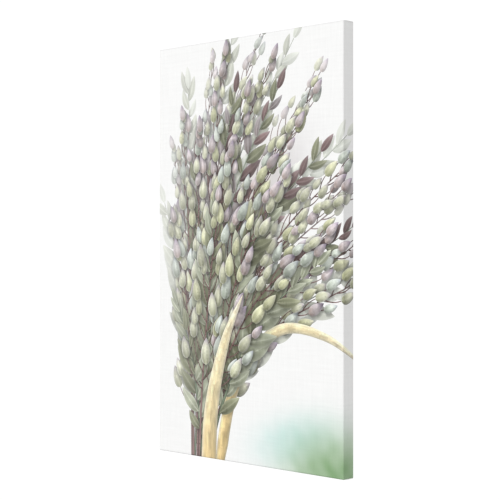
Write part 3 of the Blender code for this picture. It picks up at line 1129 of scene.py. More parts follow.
@dataclass(frozen=True)
class WoodFinish:
    """Planed bare wood, with year rings round a pith line that lies outside the piece.

    Distances are millimetres. The pith's place is given across the two axes that the grain doesn't
    run along, the print's depth first.
    """

    name: str
    grain: Grain
    pith: tuple[float, float]
    early: Rgb
    late: Rgb
    ring: float = 2.7
    ring_share: float = 0.62
    uneven: float = 1.8
    wander: float = 16.0
    waver: float = 3.0
    fibre: float = 0.35
    flecks: float = 0.0
    pores: float = 0.5
    fibre_tone: float = 0.42
    broad_tone: float = 0.2
    relief: float = 0.00012
    roughness: float = 0.66
    specular: float = 0.32
    seed: float = 0.0
    knots: tuple[Knot, ...] = ()
    knot_colour: Rgb = (0.27, 0.13, 0.055)

    def radius(self, nodes: Nodes, along: Wire, y: Wire, level: Wire) -> Wire:
        """Measures how far each place lies from the pith, which wanders along the piece.

        Args:
            nodes: The material's nodes.
            along: Places along the grain.
            y: Places in the print's depth.
            level: Places across the grain and the depth.

        Returns:
            Distances in millimetres.
        """
        wander = nodes.noise(nodes.join(along * 0.004, self.seed, 0.0), detail=1.0)
        waver = nodes.noise(nodes.join(along * 0.007, y * 0.02, level * 0.02 + self.seed))
        out_y = y - self.pith[0] + (wander - 0.5) * self.wander
        out_z = level - self.pith[1] + (waver - 0.5) * self.waver
        for knot in self.knots:
            near = self.distance(knot, along, level).ramp(knot.reach, 0.0)
            out_z = out_z - (level - knot.level) * near * knot.push
        return (out_y * out_y + out_z * out_z).power(0.5)

    def distance(self, knot: Knot, along: Wire, level: Wire) -> Wire:
        """How far each place lies from a knot's middle, less along the grain than across it."""
        run, off = (along - knot.along) / knot.stretch, level - knot.level
        return (run * run + off * off).power(0.5)

    def with_knots(self, nodes: Nodes, colour: Wire, along: Wire, level: Wire) -> Wire:
        """Lays the knots' own dark rings over a colour.

        Args:
            nodes: The material's nodes.
            colour: The colour.
            along: Places along the grain.
            level: Places across the grain and the depth.

        Returns:
            The colour with its knots.
        """
        for knot in self.knots:
            distance = self.distance(knot, along, level)
            core = distance.ramp(knot.radius * 1.5, knot.radius * 0.95)
            rings = (distance / knot.ring).fraction() * 0.5 + 0.8
            colour = nodes.mix(core, colour, nodes.tinted(self.knot_colour, rings))
        return colour

    def material(self) -> bpy.types.Material:
        """Builds the wood's material.

        Returns:
            The material.
        """
        nodes = Nodes(bpy.data.materials.new(self.name))
        x, y, z = nodes.split(nodes.place())
        along, level = (z, x) if self.grain is Grain.UPRIGHT else (x, z)
        radius = self.radius(nodes, along, y, level)
        uneven = nodes.noise(nodes.join(radius * 0.09, self.seed, 4.0), detail=1.0) * self.uneven
        year = (radius / self.ring + uneven).fraction()
        deep = nodes.noise(nodes.join(radius * 0.31, along * 0.004, self.seed), detail=1.0) * 1.5 + 0.2
        late = (year.ramp(0.35, 0.93).power(1.6) * year.ramp(1.0, 0.94) * deep).least(1.0)
        fibres = nodes.noise(nodes.join(along * 0.03, y * 2.6, level * 2.6), detail=3.0, roughness=0.65)
        broad = nodes.noise(nodes.join(along * 0.006, y * 0.1, level * 0.1 + self.seed))
        fleck = nodes.noise(nodes.join(along * 0.22, y * 1.9, level * 1.9 + 5.0), detail=1.0).ramp(0.62, 0.7)
        share = late * self.ring_share + (fibres - 0.5) * self.fibre + (broad - 0.5) * 0.5
        colour = nodes.mix((share + fleck * self.flecks).most(0.0).least(1.0), self.early, self.late)
        colour = self.with_knots(nodes, colour, along, level)
        tone = 1.0 + (fibres - 0.5) * self.fibre_tone + (broad - 0.5) * self.broad_tone
        height = fibres * 0.9 + late * 0.15 - fleck * self.pores
        return nodes.finish(
            Base_Color=nodes.tinted(colour, tone),
            Roughness=self.roughness + (fibres - 0.5) * 0.16 - late * 0.08,
            Normal=nodes.bump(height, self.relief, 0.55),
            Specular_IOR_Level=self.specular,
        )


@dataclass(frozen=True)
class MetalFinish:
    """Plated or galvanised sheet and wire, with dulled patches and fine drawing marks."""

    name: str
    bright: Rgb
    dull: Rgb
    spot: Rgb
    roughness: float
    dull_roughness: float
    spot_share: float
    relief: float = 0.00003

    def material(self) -> bpy.types.Material:
        """Builds the metal's material.

        Returns:
            The material.
        """
        nodes = Nodes(bpy.data.materials.new(self.name))
        place = nodes.place()
        x, y, z = nodes.split(place)
        patches = nodes.noise(place, detail=4.0, roughness=0.6, scale=0.32).ramp(0.3, 0.75)
        marks = nodes.noise(nodes.join(x * 0.5, y * 6.0, z * 7.0))
        spots = nodes.noise(place, scale=1.9).ramp(0.66, 0.76) * self.spot_share
        colour = nodes.mix((patches + (marks - 0.5) * 1.1).most(0.0).least(1.0), self.bright, self.dull)
        colour = nodes.mix(spots, colour, self.spot)
        spread = self.dull_roughness - self.roughness
        rough = self.roughness + patches * spread + (marks - 0.5) * 0.12 + spots * 0.2
        return nodes.finish(
            Base_Color=colour,
            Roughness=rough,
            Metallic=1.0 - spots * 0.6,
            Normal=nodes.bump(marks + patches * 0.4, self.relief, 0.5),
        )


@dataclass(frozen=True)
class FloorFinish:
    """Matt white studio floor."""

    colour: Rgb = (0.84, 0.84, 0.84)
    darkest: float = 0.98
    roughness: float = 0.85
    relief: float = 0.0002

    def material(self) -> bpy.types.Material:
        """Builds the floor's material.

        Returns:
            The material.
        """
        nodes = Nodes(bpy.data.materials.new("studio_floor"))
        place = nodes.add("ShaderNodeTexCoord", out="Object")
        mottle = nodes.noise(place, detail=3.0, scale=3.0)
        base = nodes.mix(mottle, self.colour, tuple(self.darkest * part for part in self.colour))
        normal = nodes.bump(nodes.noise(place, scale=240.0), self.relief, 0.3)
        return nodes.finish(Base_Color=base, Roughness=self.roughness, Normal=normal)


class Net:
    """Points, lines and faces on the flat sheet, to be triangulated together."""

    def __init__(self, *outlines: Points) -> None:
        """Starts with faces, whose triangles will carry their numbers.

        Args:
            outlines: The faces' closed outlines, anticlockwise.
        """
        self.points: list[tuple[float, float]] = []
        self.edges: list[tuple[int, int]] = []
        self.faces = [list(self.add_points(outline)) for outline in outlines]

    def add_points(self, points: Points) -> range:
        """Adds loose points.

        Args:
            points: Places on the flat sheet.

        Returns:
            Their numbers.
        """
        start = len(self.points)
        self.points.extend((float(x), float(y)) for x, y in points)
        return range(start, len(self.points))

    def add_line(self, points: Points) -> None:
        """Adds a line that triangles may not cross."""
        numbers = self.add_points(points)
        self.edges.extend(zip(numbers, numbers[1:]))

    def add_edges(self, points: Points, edges: Iterable[tuple[int, int]]) -> None:
        """Adds single edges that triangles may not cross, and only the points that they use.

        Args:
            points: Places on the flat sheet.
            edges: Pairs of rows of the points.
        """
        used, rows = np.unique(np.array(sorted(edges)), return_inverse=True)
        start = self.add_points(points[used]).start
        self.edges.extend(map(tuple, (rows.reshape(-1, 2) + start).tolist()))

    def triangulate(self) -> tuple[Points, Rows, list[list[int]]]:
        """Triangulates everything.

        Returns:
            Points, triangles, and the numbers of the faces that hold each triangle.
        """
        points = [Vector(point) for point in self.points]
        closest = 0.005
        found = delaunay_2d_cdt(points, self.edges, self.faces, 0, closest, True)
        return np.array([tuple(point) for point in found[0]]), np.array(found[2]), found[5]


def within(points: Points, outline: Points) -> Values:
    """Tells which points lie inside a closed outline.

    Args:
        points: The points.
        outline: The outline.

    Returns:
        True for each such point.
    """
    x, y = points[:, :1], points[:, 1:]
    (ax, ay), (bx, by) = outline.T, np.roll(outline, -1, axis=0).T
    crosses = (ay > y) != (by > y)
    slope = (bx - ax) / np.where(by == ay, 1.0, by - ay)
    return ((crosses & (x < slope * (y - ay) + ax)).sum(axis=1) % 2) == 1


def inside_outline(points: Points, outline: Points, margin: float) -> Values:
    """Tells which points lie inside a closed outline and stay there when moved a little.

    Args:
        points: The points.
        outline: The outline.
        margin: How far they are moved, four ways.

    Returns:
        True for each such point.
    """
    inside = np.ones(len(points), bool)
    for step in ((margin, 0), (-margin, 0), (0, margin), (0, -margin)):
        inside[inside] = within(points[inside] + step, outline)
    return inside


def border_edges(faces: Rows, top: Rows) -> Rows:
    """Finds the edges between triangles whose topmost shapes differ.

    Args:
        faces: The triangles.
        top: Number of each triangle's topmost shape.

    Returns:
        Pairs of points.
    """
    pairs = np.sort(faces[:, [0, 1, 1, 2, 2, 0]].reshape(-1, 2), axis=1)
    owners = np.repeat(top, 3)
    order = np.lexsort((pairs[:, 1], pairs[:, 0]))
    pairs, owners = pairs[order], owners[order]
    same = (pairs[1:] == pairs[:-1]).all(axis=1) & (owners[1:] != owners[:-1])
    return pairs[1:][same]


def plain_edges(points: Points, edges: Rows, bow: float = 0.04, longest: float = 3.6) -> set[tuple[int, int]]:
    """Joins edges that run on in one line.

    Args:
        points: The points.
        edges: Pairs of points.
        bow: How far a dropped point may lie from the joined edge.
        longest: The longest that a joined edge may be.

    Returns:
        The edges that remain.
    """
    ties: dict[int, set[int]] = {}
    for a, b in edges.tolist():
        ties.setdefault(a, set()).add(b)
        ties.setdefault(b, set()).add(a)
    places = points.tolist()
    for point, others in ties.items():
        if len(others) != 2:
            continue
        a, b = others
        if b in ties[a]:
            continue
        (ax, ay), (bx, by), (x, y) = places[a], places[b], places[point]
        length = math.hypot(bx - ax, by - ay)
        off = abs((bx - ax) * (y - ay) - (by - ay) * (x - ax))
        if length <= longest and off <= bow * length:
            ties[a].remove(point)
            ties[b].remove(point)
            ties[a].add(b)
            ties[b].add(a)
            others.clear()
    return {(min(a, b), max(a, b)) for a, others in ties.items() for b in others}


def used_only(points: Points, faces: Rows) -> tuple[Points, Rows]:
    """Drops the points that no triangle uses."""
    used, faces = np.unique(faces, return_inverse=True)
    return points[used], faces.reshape(-1, 3)


def split_runs(line: Points, kept: Values) -> list[Points]:
    """The stretches of a line whose points are all kept."""
    edges = np.flatnonzero(np.diff(np.concatenate([[0], kept.astype(int), [0]])))
    return [line[start:end] for start, end in zip(edges[::2], edges[1::2]) if end - start > 1]


def nearest_rows(wanted: Points, points: Points) -> Rows:
    """The row in points that is nearest to each point wanted."""
    return np.array([int(((points - point) ** 2).sum(axis=1).argmin()) for point in wanted])


def band(first: Rows, second: Rows) -> Rows:
    """Fills the strip between two closed loops of the same length.

    Args:
        first: Point numbers of one loop.
        second: Point numbers of the other.

    Returns:
        Triangles.
    """
    first_next, second_next = np.roll(first, -1), np.roll(second, -1)
    lower = np.stack([first, second, first_next], axis=1)
    return np.vstack([lower, np.stack([first_next, second, second_next], axis=1)])


def new_object(name: str, places: Points, triangles: Rows) -> bpy.types.Object:
    """Makes a smooth-shaded object.

    Args:
        name: Its name.
        places: Its points, in metres.
        triangles: Its triangles.

    Returns:
        The object.
    """
    mesh = bpy.data.meshes.new(name)
    mesh.vertices.add(len(places))
    mesh.vertices.foreach_set("co", np.asarray(places, float).ravel())
    mesh.loops.add(triangles.size)
    mesh.loops.foreach_set("vertex_index", triangles.astype(np.int32).ravel())
    mesh.polygons.add(len(triangles))
    mesh.polygons.foreach_set("loop_start", np.arange(0, triangles.size, 3, dtype=np.int32))
    mesh.update(calc_edges=True)
    mesh.shade_smooth()
    obj = bpy.data.objects.new(name, mesh)
    bpy.context.scene.collection.objects.link(obj)
    return obj


def put_attribute(mesh: bpy.types.Mesh, name: str, kind: str, domain: str, values: Values) -> None:
    """Adds an attribute to a mesh and fills it."""
    layer = mesh.attributes.new(name, kind, domain)
    layer.data.foreach_set("color" if kind == "FLOAT_COLOR" else "vector", values.astype(np.float32).ravel())


@dataclass(frozen=True)
class MapArea:
    """A rectangle of the cloth's UV map, as shares of the map's sides."""

    corner: tuple[float, float]
    size: tuple[float, float]

    def place(self, shares: Values) -> Values:
        """Puts shares of 0 to 1 in the rectangle."""
        return shares * self.size + self.corner


@dataclass
class Fray:
    """Short loose threads at the cut edges behind, which droop on to the wood.

    The threads are thin closed tubes. They keep clear of the corners' folds and of the hanger.
    """

    count: int = 120
    seed: int = 5
    radius: float = 0.11
    shortest: float = 0.8
    longest: float = 4.6
    rooted: float = 0.8
    cloth_level: float = -1.42
    wood_level: float = -2.17
    steps: int = 7
    sides: int = 4
    corner_gap: float = 34.0
    hanger_gap: float = 27.0
    edge_reach: float = 1.5
    most_sway: float = 0.9
    curls: tuple[float, float] = (-1.2, 0.9)
    tip_share: float = 0.55
    flat_step: tuple[float, float] = (0.6, 0.1)
    map_area: MapArea = MapArea((0.72, 0.62), (0.20, 0.30))

    def roots(self, outline: Points, cut_end: Points) -> list[tuple[int, int]]:
        """Picks where the threads start.

        Args:
            outline: The sheet's outline.
            cut_end: Distances from the sheet's middle to its cut edges.

        Returns:
            Rows of the outline, each with the axis that its thread runs along.
        """
        rows = []
        for axis in (0, 1):
            other = outline[:, 1 - axis]
            near_cut = np.abs(np.abs(outline[:, axis]) - cut_end[axis]) < self.edge_reach
            free = near_cut & (np.abs(other) < cut_end[1 - axis] - self.corner_gap)
            if axis:
                free &= (outline[:, 1] < 0) | (np.abs(other) > self.hanger_gap)
            rows += [(int(row), axis) for row in np.flatnonzero(free)]
        picked = self.dice.choice(len(rows), size=min(self.count, len(rows)), replace=False)
        return [rows[i] for i in picked]

    def path(self, root: Points, inwards: Points, aside: Points) -> Points:
        """Leads one thread out of the cloth and down to the wood, some with a lifted tip.

        Args:
            root: Its place on the cut edge.
            inwards: The direction away from the edge.
            aside: The direction along the edge.

        Returns:
            Points along its middle.
        """
        run = np.linspace(0.0, 1.0, self.steps)[:, None]
        length = self.dice.uniform(self.shortest, self.longest) * self.dice.uniform(0.5, 1.0)
        sway = self.dice.uniform(-self.most_sway, self.most_sway)
        curl = max(0.0, self.dice.uniform(*self.curls))
        drop = smooth(run * (0.5 + length / self.longest) * 1.4)
        line = root + inwards * ((length + self.rooted) * run - self.rooted) + aside * sway * length * run**2
        line[:, 1] = (self.cloth_level + (self.wood_level - self.cloth_level) * drop + curl * run**3)[:, 0]
        return line

    def tube(self, line: Points) -> tuple[Points, Rows]:
        """Closes a thin tube round a line.

        Args:
            line: The thread's middle line.

        Returns:
            Points and triangles.
        """
        along = unit(np.gradient(line, axis=0))
        up = unit(np.cross(along, np.cross([0.0, 1.0, 0.0], along)))
        beside = np.cross(along, up)
        turns = np.arange(self.sides) * math.tau / self.sides
        size = self.radius * np.linspace(1.0, self.tip_share, self.steps)[:, None]
        rings = [line + size * (math.cos(turn) * up + math.sin(turn) * beside) for turn in turns]
        places = np.stack(rings, axis=1).reshape(-1, 3)
        loops = np.arange(len(places)).reshape(self.steps, self.sides)
        walls = [band(first, second) for first, second in zip(loops, loops[1:])]
        fan = np.array([(0, i, i + 1) for i in range(1, self.sides - 1)])
        return places, np.vstack([*walls, loops[0][fan], loops[-1][fan[:, ::-1]]])

    def build(self, outline: Points, wrapped: Points, cut_end: Points) -> tuple[Points, Rows, Points, Points]:
        """Builds all the threads.

        Args:
            outline: The sheet's outline, flat.
            wrapped: The same points round the frame.
            cut_end: Distances from the sheet's middle to its cut edges.

        Returns:
            Places in millimetres, triangles, flat places, and places on the UV map.
        """
        self.dice = np.random.default_rng(self.seed)
        places, triangles, flat, maps = [], [], [], []
        size = self.steps * self.sides
        run, around = np.divmod(np.arange(size), self.sides)
        roots = self.roots(outline, cut_end)
        for number, (row, axis) in enumerate(roots):
            inwards, aside = np.zeros(3), np.zeros(3)
            inwards[2 * axis] = -np.sign(outline[row, axis])
            aside[2 - 2 * axis] = 1.0
            points, faces = self.tube(self.path(wrapped[row], inwards, aside))
            places.append(points)
            triangles.append(faces + number * size)
            flat.append(outline[row] + np.stack([run, around], axis=1) * self.flat_step)
            strip = (number + 0.8 * around / self.sides) / len(roots)
            share = np.stack([run / (self.steps - 1), strip], axis=1)
            maps.append(self.map_area.place(share))
        return np.vstack(places), np.vstack(triangles), np.vstack(flat), np.vstack(maps)


class Arm(Enum):
    """The part of the flat sheet that a point lies on."""

    FRONT = 0
    SIDE = 1
    STRIP = 2


@dataclass
class Canvas:
    """The canvas: one sheet over the front, folded round all four edges and stapled behind.

    A point of the flat sheet has a place across it and a place up it, from the front's middle. The
    side arms, with the front, make one wrap. The strips at the top and bottom are folded in at
    their ends and lie over the wrap, along the corner edges and along the mitres behind.
    """

    width: float = 360.0
    height: float = 600.0
    depth: float = 20.0
    flap: float = 20.0
    middle_height: float = -270.0
    front_plane: float = -21.5
    front_radius: float = 1.3
    back_radius: float = 0.8
    cloth: float = 0.45
    folded_cloth: float = 0.42
    folded_reach: float = 10.0
    tab: float = 3.2
    tab_drop: float = 0.3
    tab_reach: float = 1.2
    fold_rise: float = 0.45
    fold_reach: float = 16.0
    tuck: float = 5.0
    tab_slope: float = 1.5
    tab_root: float = 3.0
    notch: tuple[float, float] = (0.7, 0.9)
    flap_rise: float = 0.3
    rise_reach: float = 3.0
    pucker: float = 0.09
    ripple: Wave = Wave(0.07, 0.41)
    curl: Wave = Wave(0.8, 0.23, 2.0, 0.07)
    fray_rise: float = 0.22
    fray_reach: float = 5.0
    ease: float = 6.0
    cut_in: float = 0.4
    cut_waves: tuple[Wave, ...] = (Wave(0.34, 0.041), Wave(0.13, 0.37, 2.0, 0.09), Wave(0.1, 1.13, 3.0, 0.21))
    bleed: float = 9.0
    mesh_gap: float = 5.0
    mesh_margin: float = 0.8
    back_gap: float = 9.0
    line_gap: float = 3.6
    line_margin: float = 0.25
    outline_gap: float = 2.6
    slack: float = 0.01
    turn_steps: int = 4
    rim_round: float = 0.4
    rim_shares: tuple[float, float] = (0.28, 0.72)
    sharp_from: float = 50.0
    outside_area: MapArea = MapArea((0.001, 0.001), (0.646, 0.998))
    inside_area: MapArea = MapArea((0.652, 0.001), (0.345, 0.533))
    rim_area: MapArea = MapArea((0.68, 0.55), (0.282, 0.436))
    picture: Picture = field(default_factory=Picture)
    fray: Fray = field(default_factory=Fray)

    def __post_init__(self) -> None:
        """Works out where each bend lies on the flat sheet, across it and up it."""
        quarter = math.pi / 2
        self.flat_end = np.array([self.width, self.height]) / 2 - self.front_radius
        self.front_end = self.flat_end + quarter * self.front_radius
        self.side_end = self.front_end + self.depth - self.front_radius - self.back_radius
        self.back_start = self.side_end + quarter * self.back_radius
        self.cut_end = self.back_start + self.flap - self.back_radius

    @property
    def flat_size(self) -> tuple[float, float]:
        """The flat sheet's width and height in metres."""
        return tuple(float(2 * end * MM) for end in self.cut_end)

    def strip_end(self, up: Values) -> Values:
        """Works out how far across a strip reaches.

        Args:
            up: Heights on the flat sheet.

        Returns:
            Distances from the sheet's middle.
        """
        heights = [self.front_end[1], self.side_end[1], self.back_start[1], self.cut_end[1]]
        run = self.cut_end[1] - self.back_start[1]
        ends = [self.front_end[0], self.front_end[0], self.flat_end[0], self.flat_end[0] - run]
        return np.interp(up, heights, ends)

    def arms(self, points: Points) -> Rows:
        """Finds the arm that each point lies on.

        Args:
            points: Places on the flat sheet.

        Returns:
            Arm numbers.
        """
        across, up = np.abs(points).T
        side = across > self.front_end[0] + self.slack
        strip = (up > self.front_end[1]) & ~side
        return np.where(strip, Arm.STRIP.value, np.where(side, Arm.SIDE.value, Arm.FRONT.value))

    def over_edge(self, far: Values, other: Values, axis: int) -> tuple[Values, ...]:
        """Follows an arm from the front's edge over its side and on to the back.

        Args:
            far: Distances along the arm, on the axis given.
            other: Distances across the arm.
            axis: 0 for a side arm and 1 for a strip.

        Returns:
            Reach along the arm's axis, reach along the other axis, depth, and the outward
            direction's three parts in the same order.
        """
        round_front, round_back = self.front_radius, self.back_radius
        near, edge = self.flat_end[1 - axis], self.front_end[1 - axis]
        turn = np.clip((other - near) / round_front, 0.0, math.pi / 2)
        angle = np.arctan2(math.sqrt(0.5) * np.sin(turn), np.cos(turn / 2))
        past = np.clip((other - edge) / round_front, 0.0, math.pi / 4)
        inwards = np.maximum(other - edge - round_front * math.pi / 4, 0.0)
        drop = self.tab_drop * smooth((other - edge) / self.tab_reach)
        angle = angle + past
        lean, rise = np.cos(angle), np.sin(angle)
        bend = np.clip((far - self.side_end[axis]) / round_back, 0.0, math.pi / 2)
        shrink = round_back * (1 - np.cos(bend))
        behind = np.maximum(far - self.back_start[axis], 0.0)
        reach = self.flat_end[axis] + (round_front - shrink) * lean - inwards - behind
        reach_other = np.minimum(other, near) + (round_front - shrink) * rise - drop
        flat_side = np.minimum(far, self.side_end[axis]) - self.front_end[axis]
        deep = round_front + flat_side + round_back * np.sin(bend)
        return reach, reach_other, deep, lean * np.cos(bend), rise * np.cos(bend), np.sin(bend)

    def fold_end(self, points: Points) -> Values:
        """How far each point of a strip is from the strip's folded end."""
        across, up = np.abs(points).T
        return self.strip_end(up) - across

    def lift(self, points: Points, arms: Rows) -> Values:
        """How far the cloth stands off the flat planes of the side and back.

        Args:
            points: Places on the flat sheet.
            arms: The arm number of each.

        Returns:
            Heights in millimetres, outwards.
        """
        across, up = np.abs(points).T
        strip = arms == Arm.STRIP.value
        far = np.where(strip, up, across)
        ends = (self.back_start, self.front_end, self.cut_end)
        start, front, cut = (np.where(strip, end[1], end[0]) for end in ends)
        along = np.where(strip, points[:, 0], points[:, 1])
        on_back = smooth((far - start + 0.5) / self.rise_reach)
        pucker = self.pucker * np.sin(along * 0.117 + 1.0) * np.sin(along * 0.031) + self.ripple.at(along)
        curl = 0.6 + self.curl.at(along)
        frayed = self.fray_rise * smooth((far - cut + self.fray_reach) / self.fray_reach) * curl
        loose = smooth((far - start - self.rise_reach) / self.ease)
        flap = on_back * (self.flap_rise + pucker * loose + frayed)
        ramp = smooth((far - front) / self.ease)
        fold = self.fold_rise * (1 - smooth(self.fold_end(points) / self.fold_reach)) * ramp
        return np.where(arms == Arm.FRONT.value, 0.0, flap + np.where(strip, fold, 0.0))

    def thickness(self, points: Points, arms: Rows) -> Values:
        """Works out the cloth's thickness, doubled where a strip's end is folded in.

        Args:
            points: Places on the flat sheet.
            arms: The arm number of each.

        Returns:
            Thicknesses in millimetres.
        """
        across, up = np.abs(points).T
        behind = smooth((up - self.front_end[1]) / self.ease)
        folded = (1 - smooth(self.fold_end(points) / self.folded_reach)) * behind
        return self.cloth + np.where(arms == Arm.STRIP.value, self.folded_cloth * folded, 0.0)

    def wrap(self, points: Points, arms: Rows) -> Points:
        """Folds the flat sheet round the frame.

        Args:
            points: Places on the flat sheet.
            arms: The arm number of each.

        Returns:
            Places of the cloth's outside in millimetres, in the frame's axes.
        """
        signs = np.where(points < 0, -1.0, 1.0)
        across, up = np.abs(points).T
        bend_x, bend_z = (
            np.clip((far - self.flat_end[axis]) / self.front_radius, 0.0, math.pi / 2)
            for axis, far in enumerate((across, up))
        )
        out_x, out_z = np.sin(bend_x) * np.cos(bend_z / 2), np.sin(bend_z) * np.cos(bend_x / 2)
        out = unit(np.stack([out_x, out_z, -np.cos(bend_x) * np.cos(bend_z)], axis=1))
        base = np.stack([np.minimum(across, self.flat_end[0]), np.minimum(up, self.flat_end[1])], axis=1)
        x, z = (base + self.front_radius * out[:, :2]).T
        deep = self.front_radius * (1 + out[:, 2])
        lift = self.lift(points, arms)
        side = self.over_edge(across, up, 0)
        strip = self.over_edge(up, across, 1)
        on_side, on_strip = arms == Arm.SIDE.value, arms == Arm.STRIP.value
        x = np.where(on_side, side[0] + lift * side[3], np.where(on_strip, strip[1] + lift * strip[4], x))
        z = np.where(on_side, side[1] + lift * side[4], np.where(on_strip, strip[0] + lift * strip[3], z))
        deep_strip = np.where(on_strip, strip[2] + lift * strip[5], deep)
        y = self.front_plane + np.where(on_side, side[2] + lift * side[5], deep_strip)
        return np.stack([x * signs[:, 0], y, self.middle_height + z * signs[:, 1]], axis=1)

    def wrap_inside(self, points: Points, arms: Rows) -> Points:
        """Places the cloth's inside, one cloth thickness in from its outside.

        Args:
            points: Places on the flat sheet.
            arms: The arm number of each.

        Returns:
            Places in millimetres, in the frame's axes.
        """
        small = 0.02
        inwards = np.where(points < 0, small, -small)
        here = self.wrap(points, arms)
        steps = [self.wrap(points + inwards * np.eye(2)[axis], arms) - here for axis in (0, 1)]
        normal = np.cross(steps[0] * np.sign(inwards[:, :1]), steps[1] * np.sign(inwards[:, 1:]))
        return here - unit(normal) * self.thickness(points, arms)[:, None]

    def corner_outline(self) -> list[tuple[float, float]]:
        """Draws one quarter of the flat sheet's outline.

        Returns:
            Its corners, from the right edge's middle to the top edge's middle.
        """
        (a_x, a_z), (b_x, b_z), (c_x, c_z) = self.flat_end, self.front_end, self.side_end
        (d_x, d_z), (e_x, e_z) = self.back_start, self.cut_end
        half = self.height / 2
        return [
            (e_x, 0.0),
            (e_x, half - self.flap + self.tuck),
            (d_x + self.tuck + half - a_z - self.back_radius, a_z),
            (c_x, b_z),
            (c_x - self.tab_slope, b_z + self.tab),
            (b_x + self.tab_root, b_z + self.tab),
            (b_x + self.notch[0], b_z + self.notch[1]),
            (b_x, b_z),
            (b_x, c_z),
            (a_x, d_z),
            (a_x - (e_z - d_z), e_z),
            (0.0, e_z),
        ]

    def sheet_outline(self) -> Points:
        """Draws the flat sheet's outline in short steps, its cut edges a little wavy.

        Returns:
            Its points, anticlockwise.
        """
        quarter = np.array(self.corner_outline())
        left, low_left = (quarter * [-1, 1])[::-1][1:], (quarter * [-1, -1])[1:]
        corners = np.vstack([quarter, left, low_left, (quarter * [1, -1])[::-1][1:-1]])
        points = []
        for start, end in zip(corners, np.roll(corners, -1, axis=0)):
            count = max(1, math.ceil(float(np.linalg.norm(end - start)) / self.outline_gap))
            points += [start + (end - start) * i / count for i in range(count)]
        outline = np.array(points)
        place = outline.sum(axis=1)
        wave = sum(wave.at(place) for wave in self.cut_waves)
        for axis in (0, 1):
            cut = np.abs(np.abs(outline[:, axis]) - self.cut_end[axis]) < self.slack
            outline[cut, axis] += np.sign(outline[cut, axis]) * (wave[cut] - self.cut_in)
        return self.with_crossings(outline)

    def with_crossings(self, outline: Points) -> Points:
        """Adds the points where the sheet's outline crosses the print's end.

        Args:
            outline: The closed outline.

        Returns:
            The outline with a point at each crossing.
        """
        limit = self.back_start + self.bleed
        points = []
        for start, end in zip(outline, np.roll(outline, -1, axis=0)):
            points.append(start)
            before, after = np.abs(start) - limit, np.abs(end) - limit
            for axis in np.flatnonzero(before * after < 0):
                points.append(start + (end - start) * before[axis] / (before[axis] - after[axis]))
        return np.array(points)

    def bend_lines(self, outline: Points) -> list[Points]:
        """Lines along the sheet's bends, which every drawn shape is cut at.

        Args:
            outline: The sheet's outline.

        Returns:
            Polylines that stay inside the outline.
        """
        lines = []
        for axis in (0, 1):
            first = np.linspace(self.flat_end[axis], self.front_end[axis], self.turn_steps + 1)
            second = np.linspace(self.side_end[axis], self.back_start[axis], self.turn_steps)
            other = self.cut_end[1 - axis]
            ups = np.linspace(-other, other, int(2 * other / self.line_gap) + 1)
            for place in [*first, *second]:
                for sign in (-1, 1):
                    line = np.empty((len(ups), 2))
                    line[:, axis] = sign * place
                    line[:, 1 - axis] = ups
                    lines += split_runs(line, inside_outline(line, outline, self.line_margin))
        return lines

    def inner_points(self, outline: Points, gap: float) -> Points:
        """Fills the flat sheet with a grid of points, clear of its outline.

        Args:
            outline: The sheet's outline.
            gap: The grid's spacing.

        Returns:
            The points.
        """
        xs, zs = (np.arange(-end, end, gap) + gap / 2 for end in self.cut_end)
        grid = np.stack(np.meshgrid(xs, zs), axis=-1).reshape(-1, 2)
        return grid[inside_outline(grid, outline, self.mesh_margin)]

    def print_outline(self) -> Points:
        """The outline of the printed area, which ends a little way on to the back."""
        x, z = self.back_start + self.bleed
        return np.array([(-x, -z), (x, -z), (x, z), (-x, z)])

    def outside_net(self, outline: Points) -> tuple[Points, Rows, Rows]:
        """Triangulates the outside with every drawn shape cut into it.

        Args:
            outline: The sheet's outline.

        Returns:
            Flat points, triangles, and for each triangle the number of its topmost shape, -1 for
            the bare ground of the print or -2 outside the print.
        """
        draft = Net(outline, self.print_outline(), *self.picture.outlines())
        points, faces, owners = draft.triangulate()
        top = np.array([max(ids, default=-1) if 1 in ids else 0 for ids in owners])
        net = Net(outline, self.print_outline())
        net.add_edges(points, plain_edges(points, border_edges(faces, top)))
        for line in self.bend_lines(outline):
            net.add_line(line)
        net.add_points(self.picture.inner_points())
        net.add_points(self.inner_points(outline, self.mesh_gap))
        points, faces, owners = net.triangulate()
        kept = [i for i, ids in enumerate(owners) if 0 in ids]
        printed = np.array([1 in owners[i] for i in kept])
        faces = faces[kept]
        top = self.picture.topmost(points[faces].mean(axis=1))
        return points, faces, np.where(printed, top, -2)

    def inside_net(self, outline: Points) -> tuple[Points, Rows]:
        """Triangulates the inside, which shows no picture, in larger steps.

        Args:
            outline: The sheet's outline.

        Returns:
            Flat points and triangles.
        """
        net = Net(outline)
        for line in self.bend_lines(outline):
            net.add_points(line[::2])
        net.add_points(self.inner_points(outline, self.back_gap))
        points, faces, owners = net.triangulate()
        return points, faces[[0 in ids for ids in owners]]

    def rim(self, outline: Points) -> list[Points]:
        """Rounds the cut edge between the cloth's outside and its inside.

        Args:
            outline: The sheet's outline.

        Returns:
            Two loops of places in millimetres, the outer one first.
        """
        ahead = np.roll(outline, -1, axis=0) - np.roll(outline, 1, axis=0)
        outwards = unit(np.stack([ahead[:, 1], -ahead[:, 0]], axis=1))
        arms = self.arms(outline)
        outer, inner = self.wrap(outline, arms), self.wrap_inside(outline, arms)
        small = 0.05
        step = unit(outer - self.wrap(outline - small * outwards, arms))
        round_by = self.rim_round * np.linalg.norm(outer - inner, axis=1, keepdims=True)
        return [outer + (inner - outer) * share + step * round_by for share in self.rim_shares]

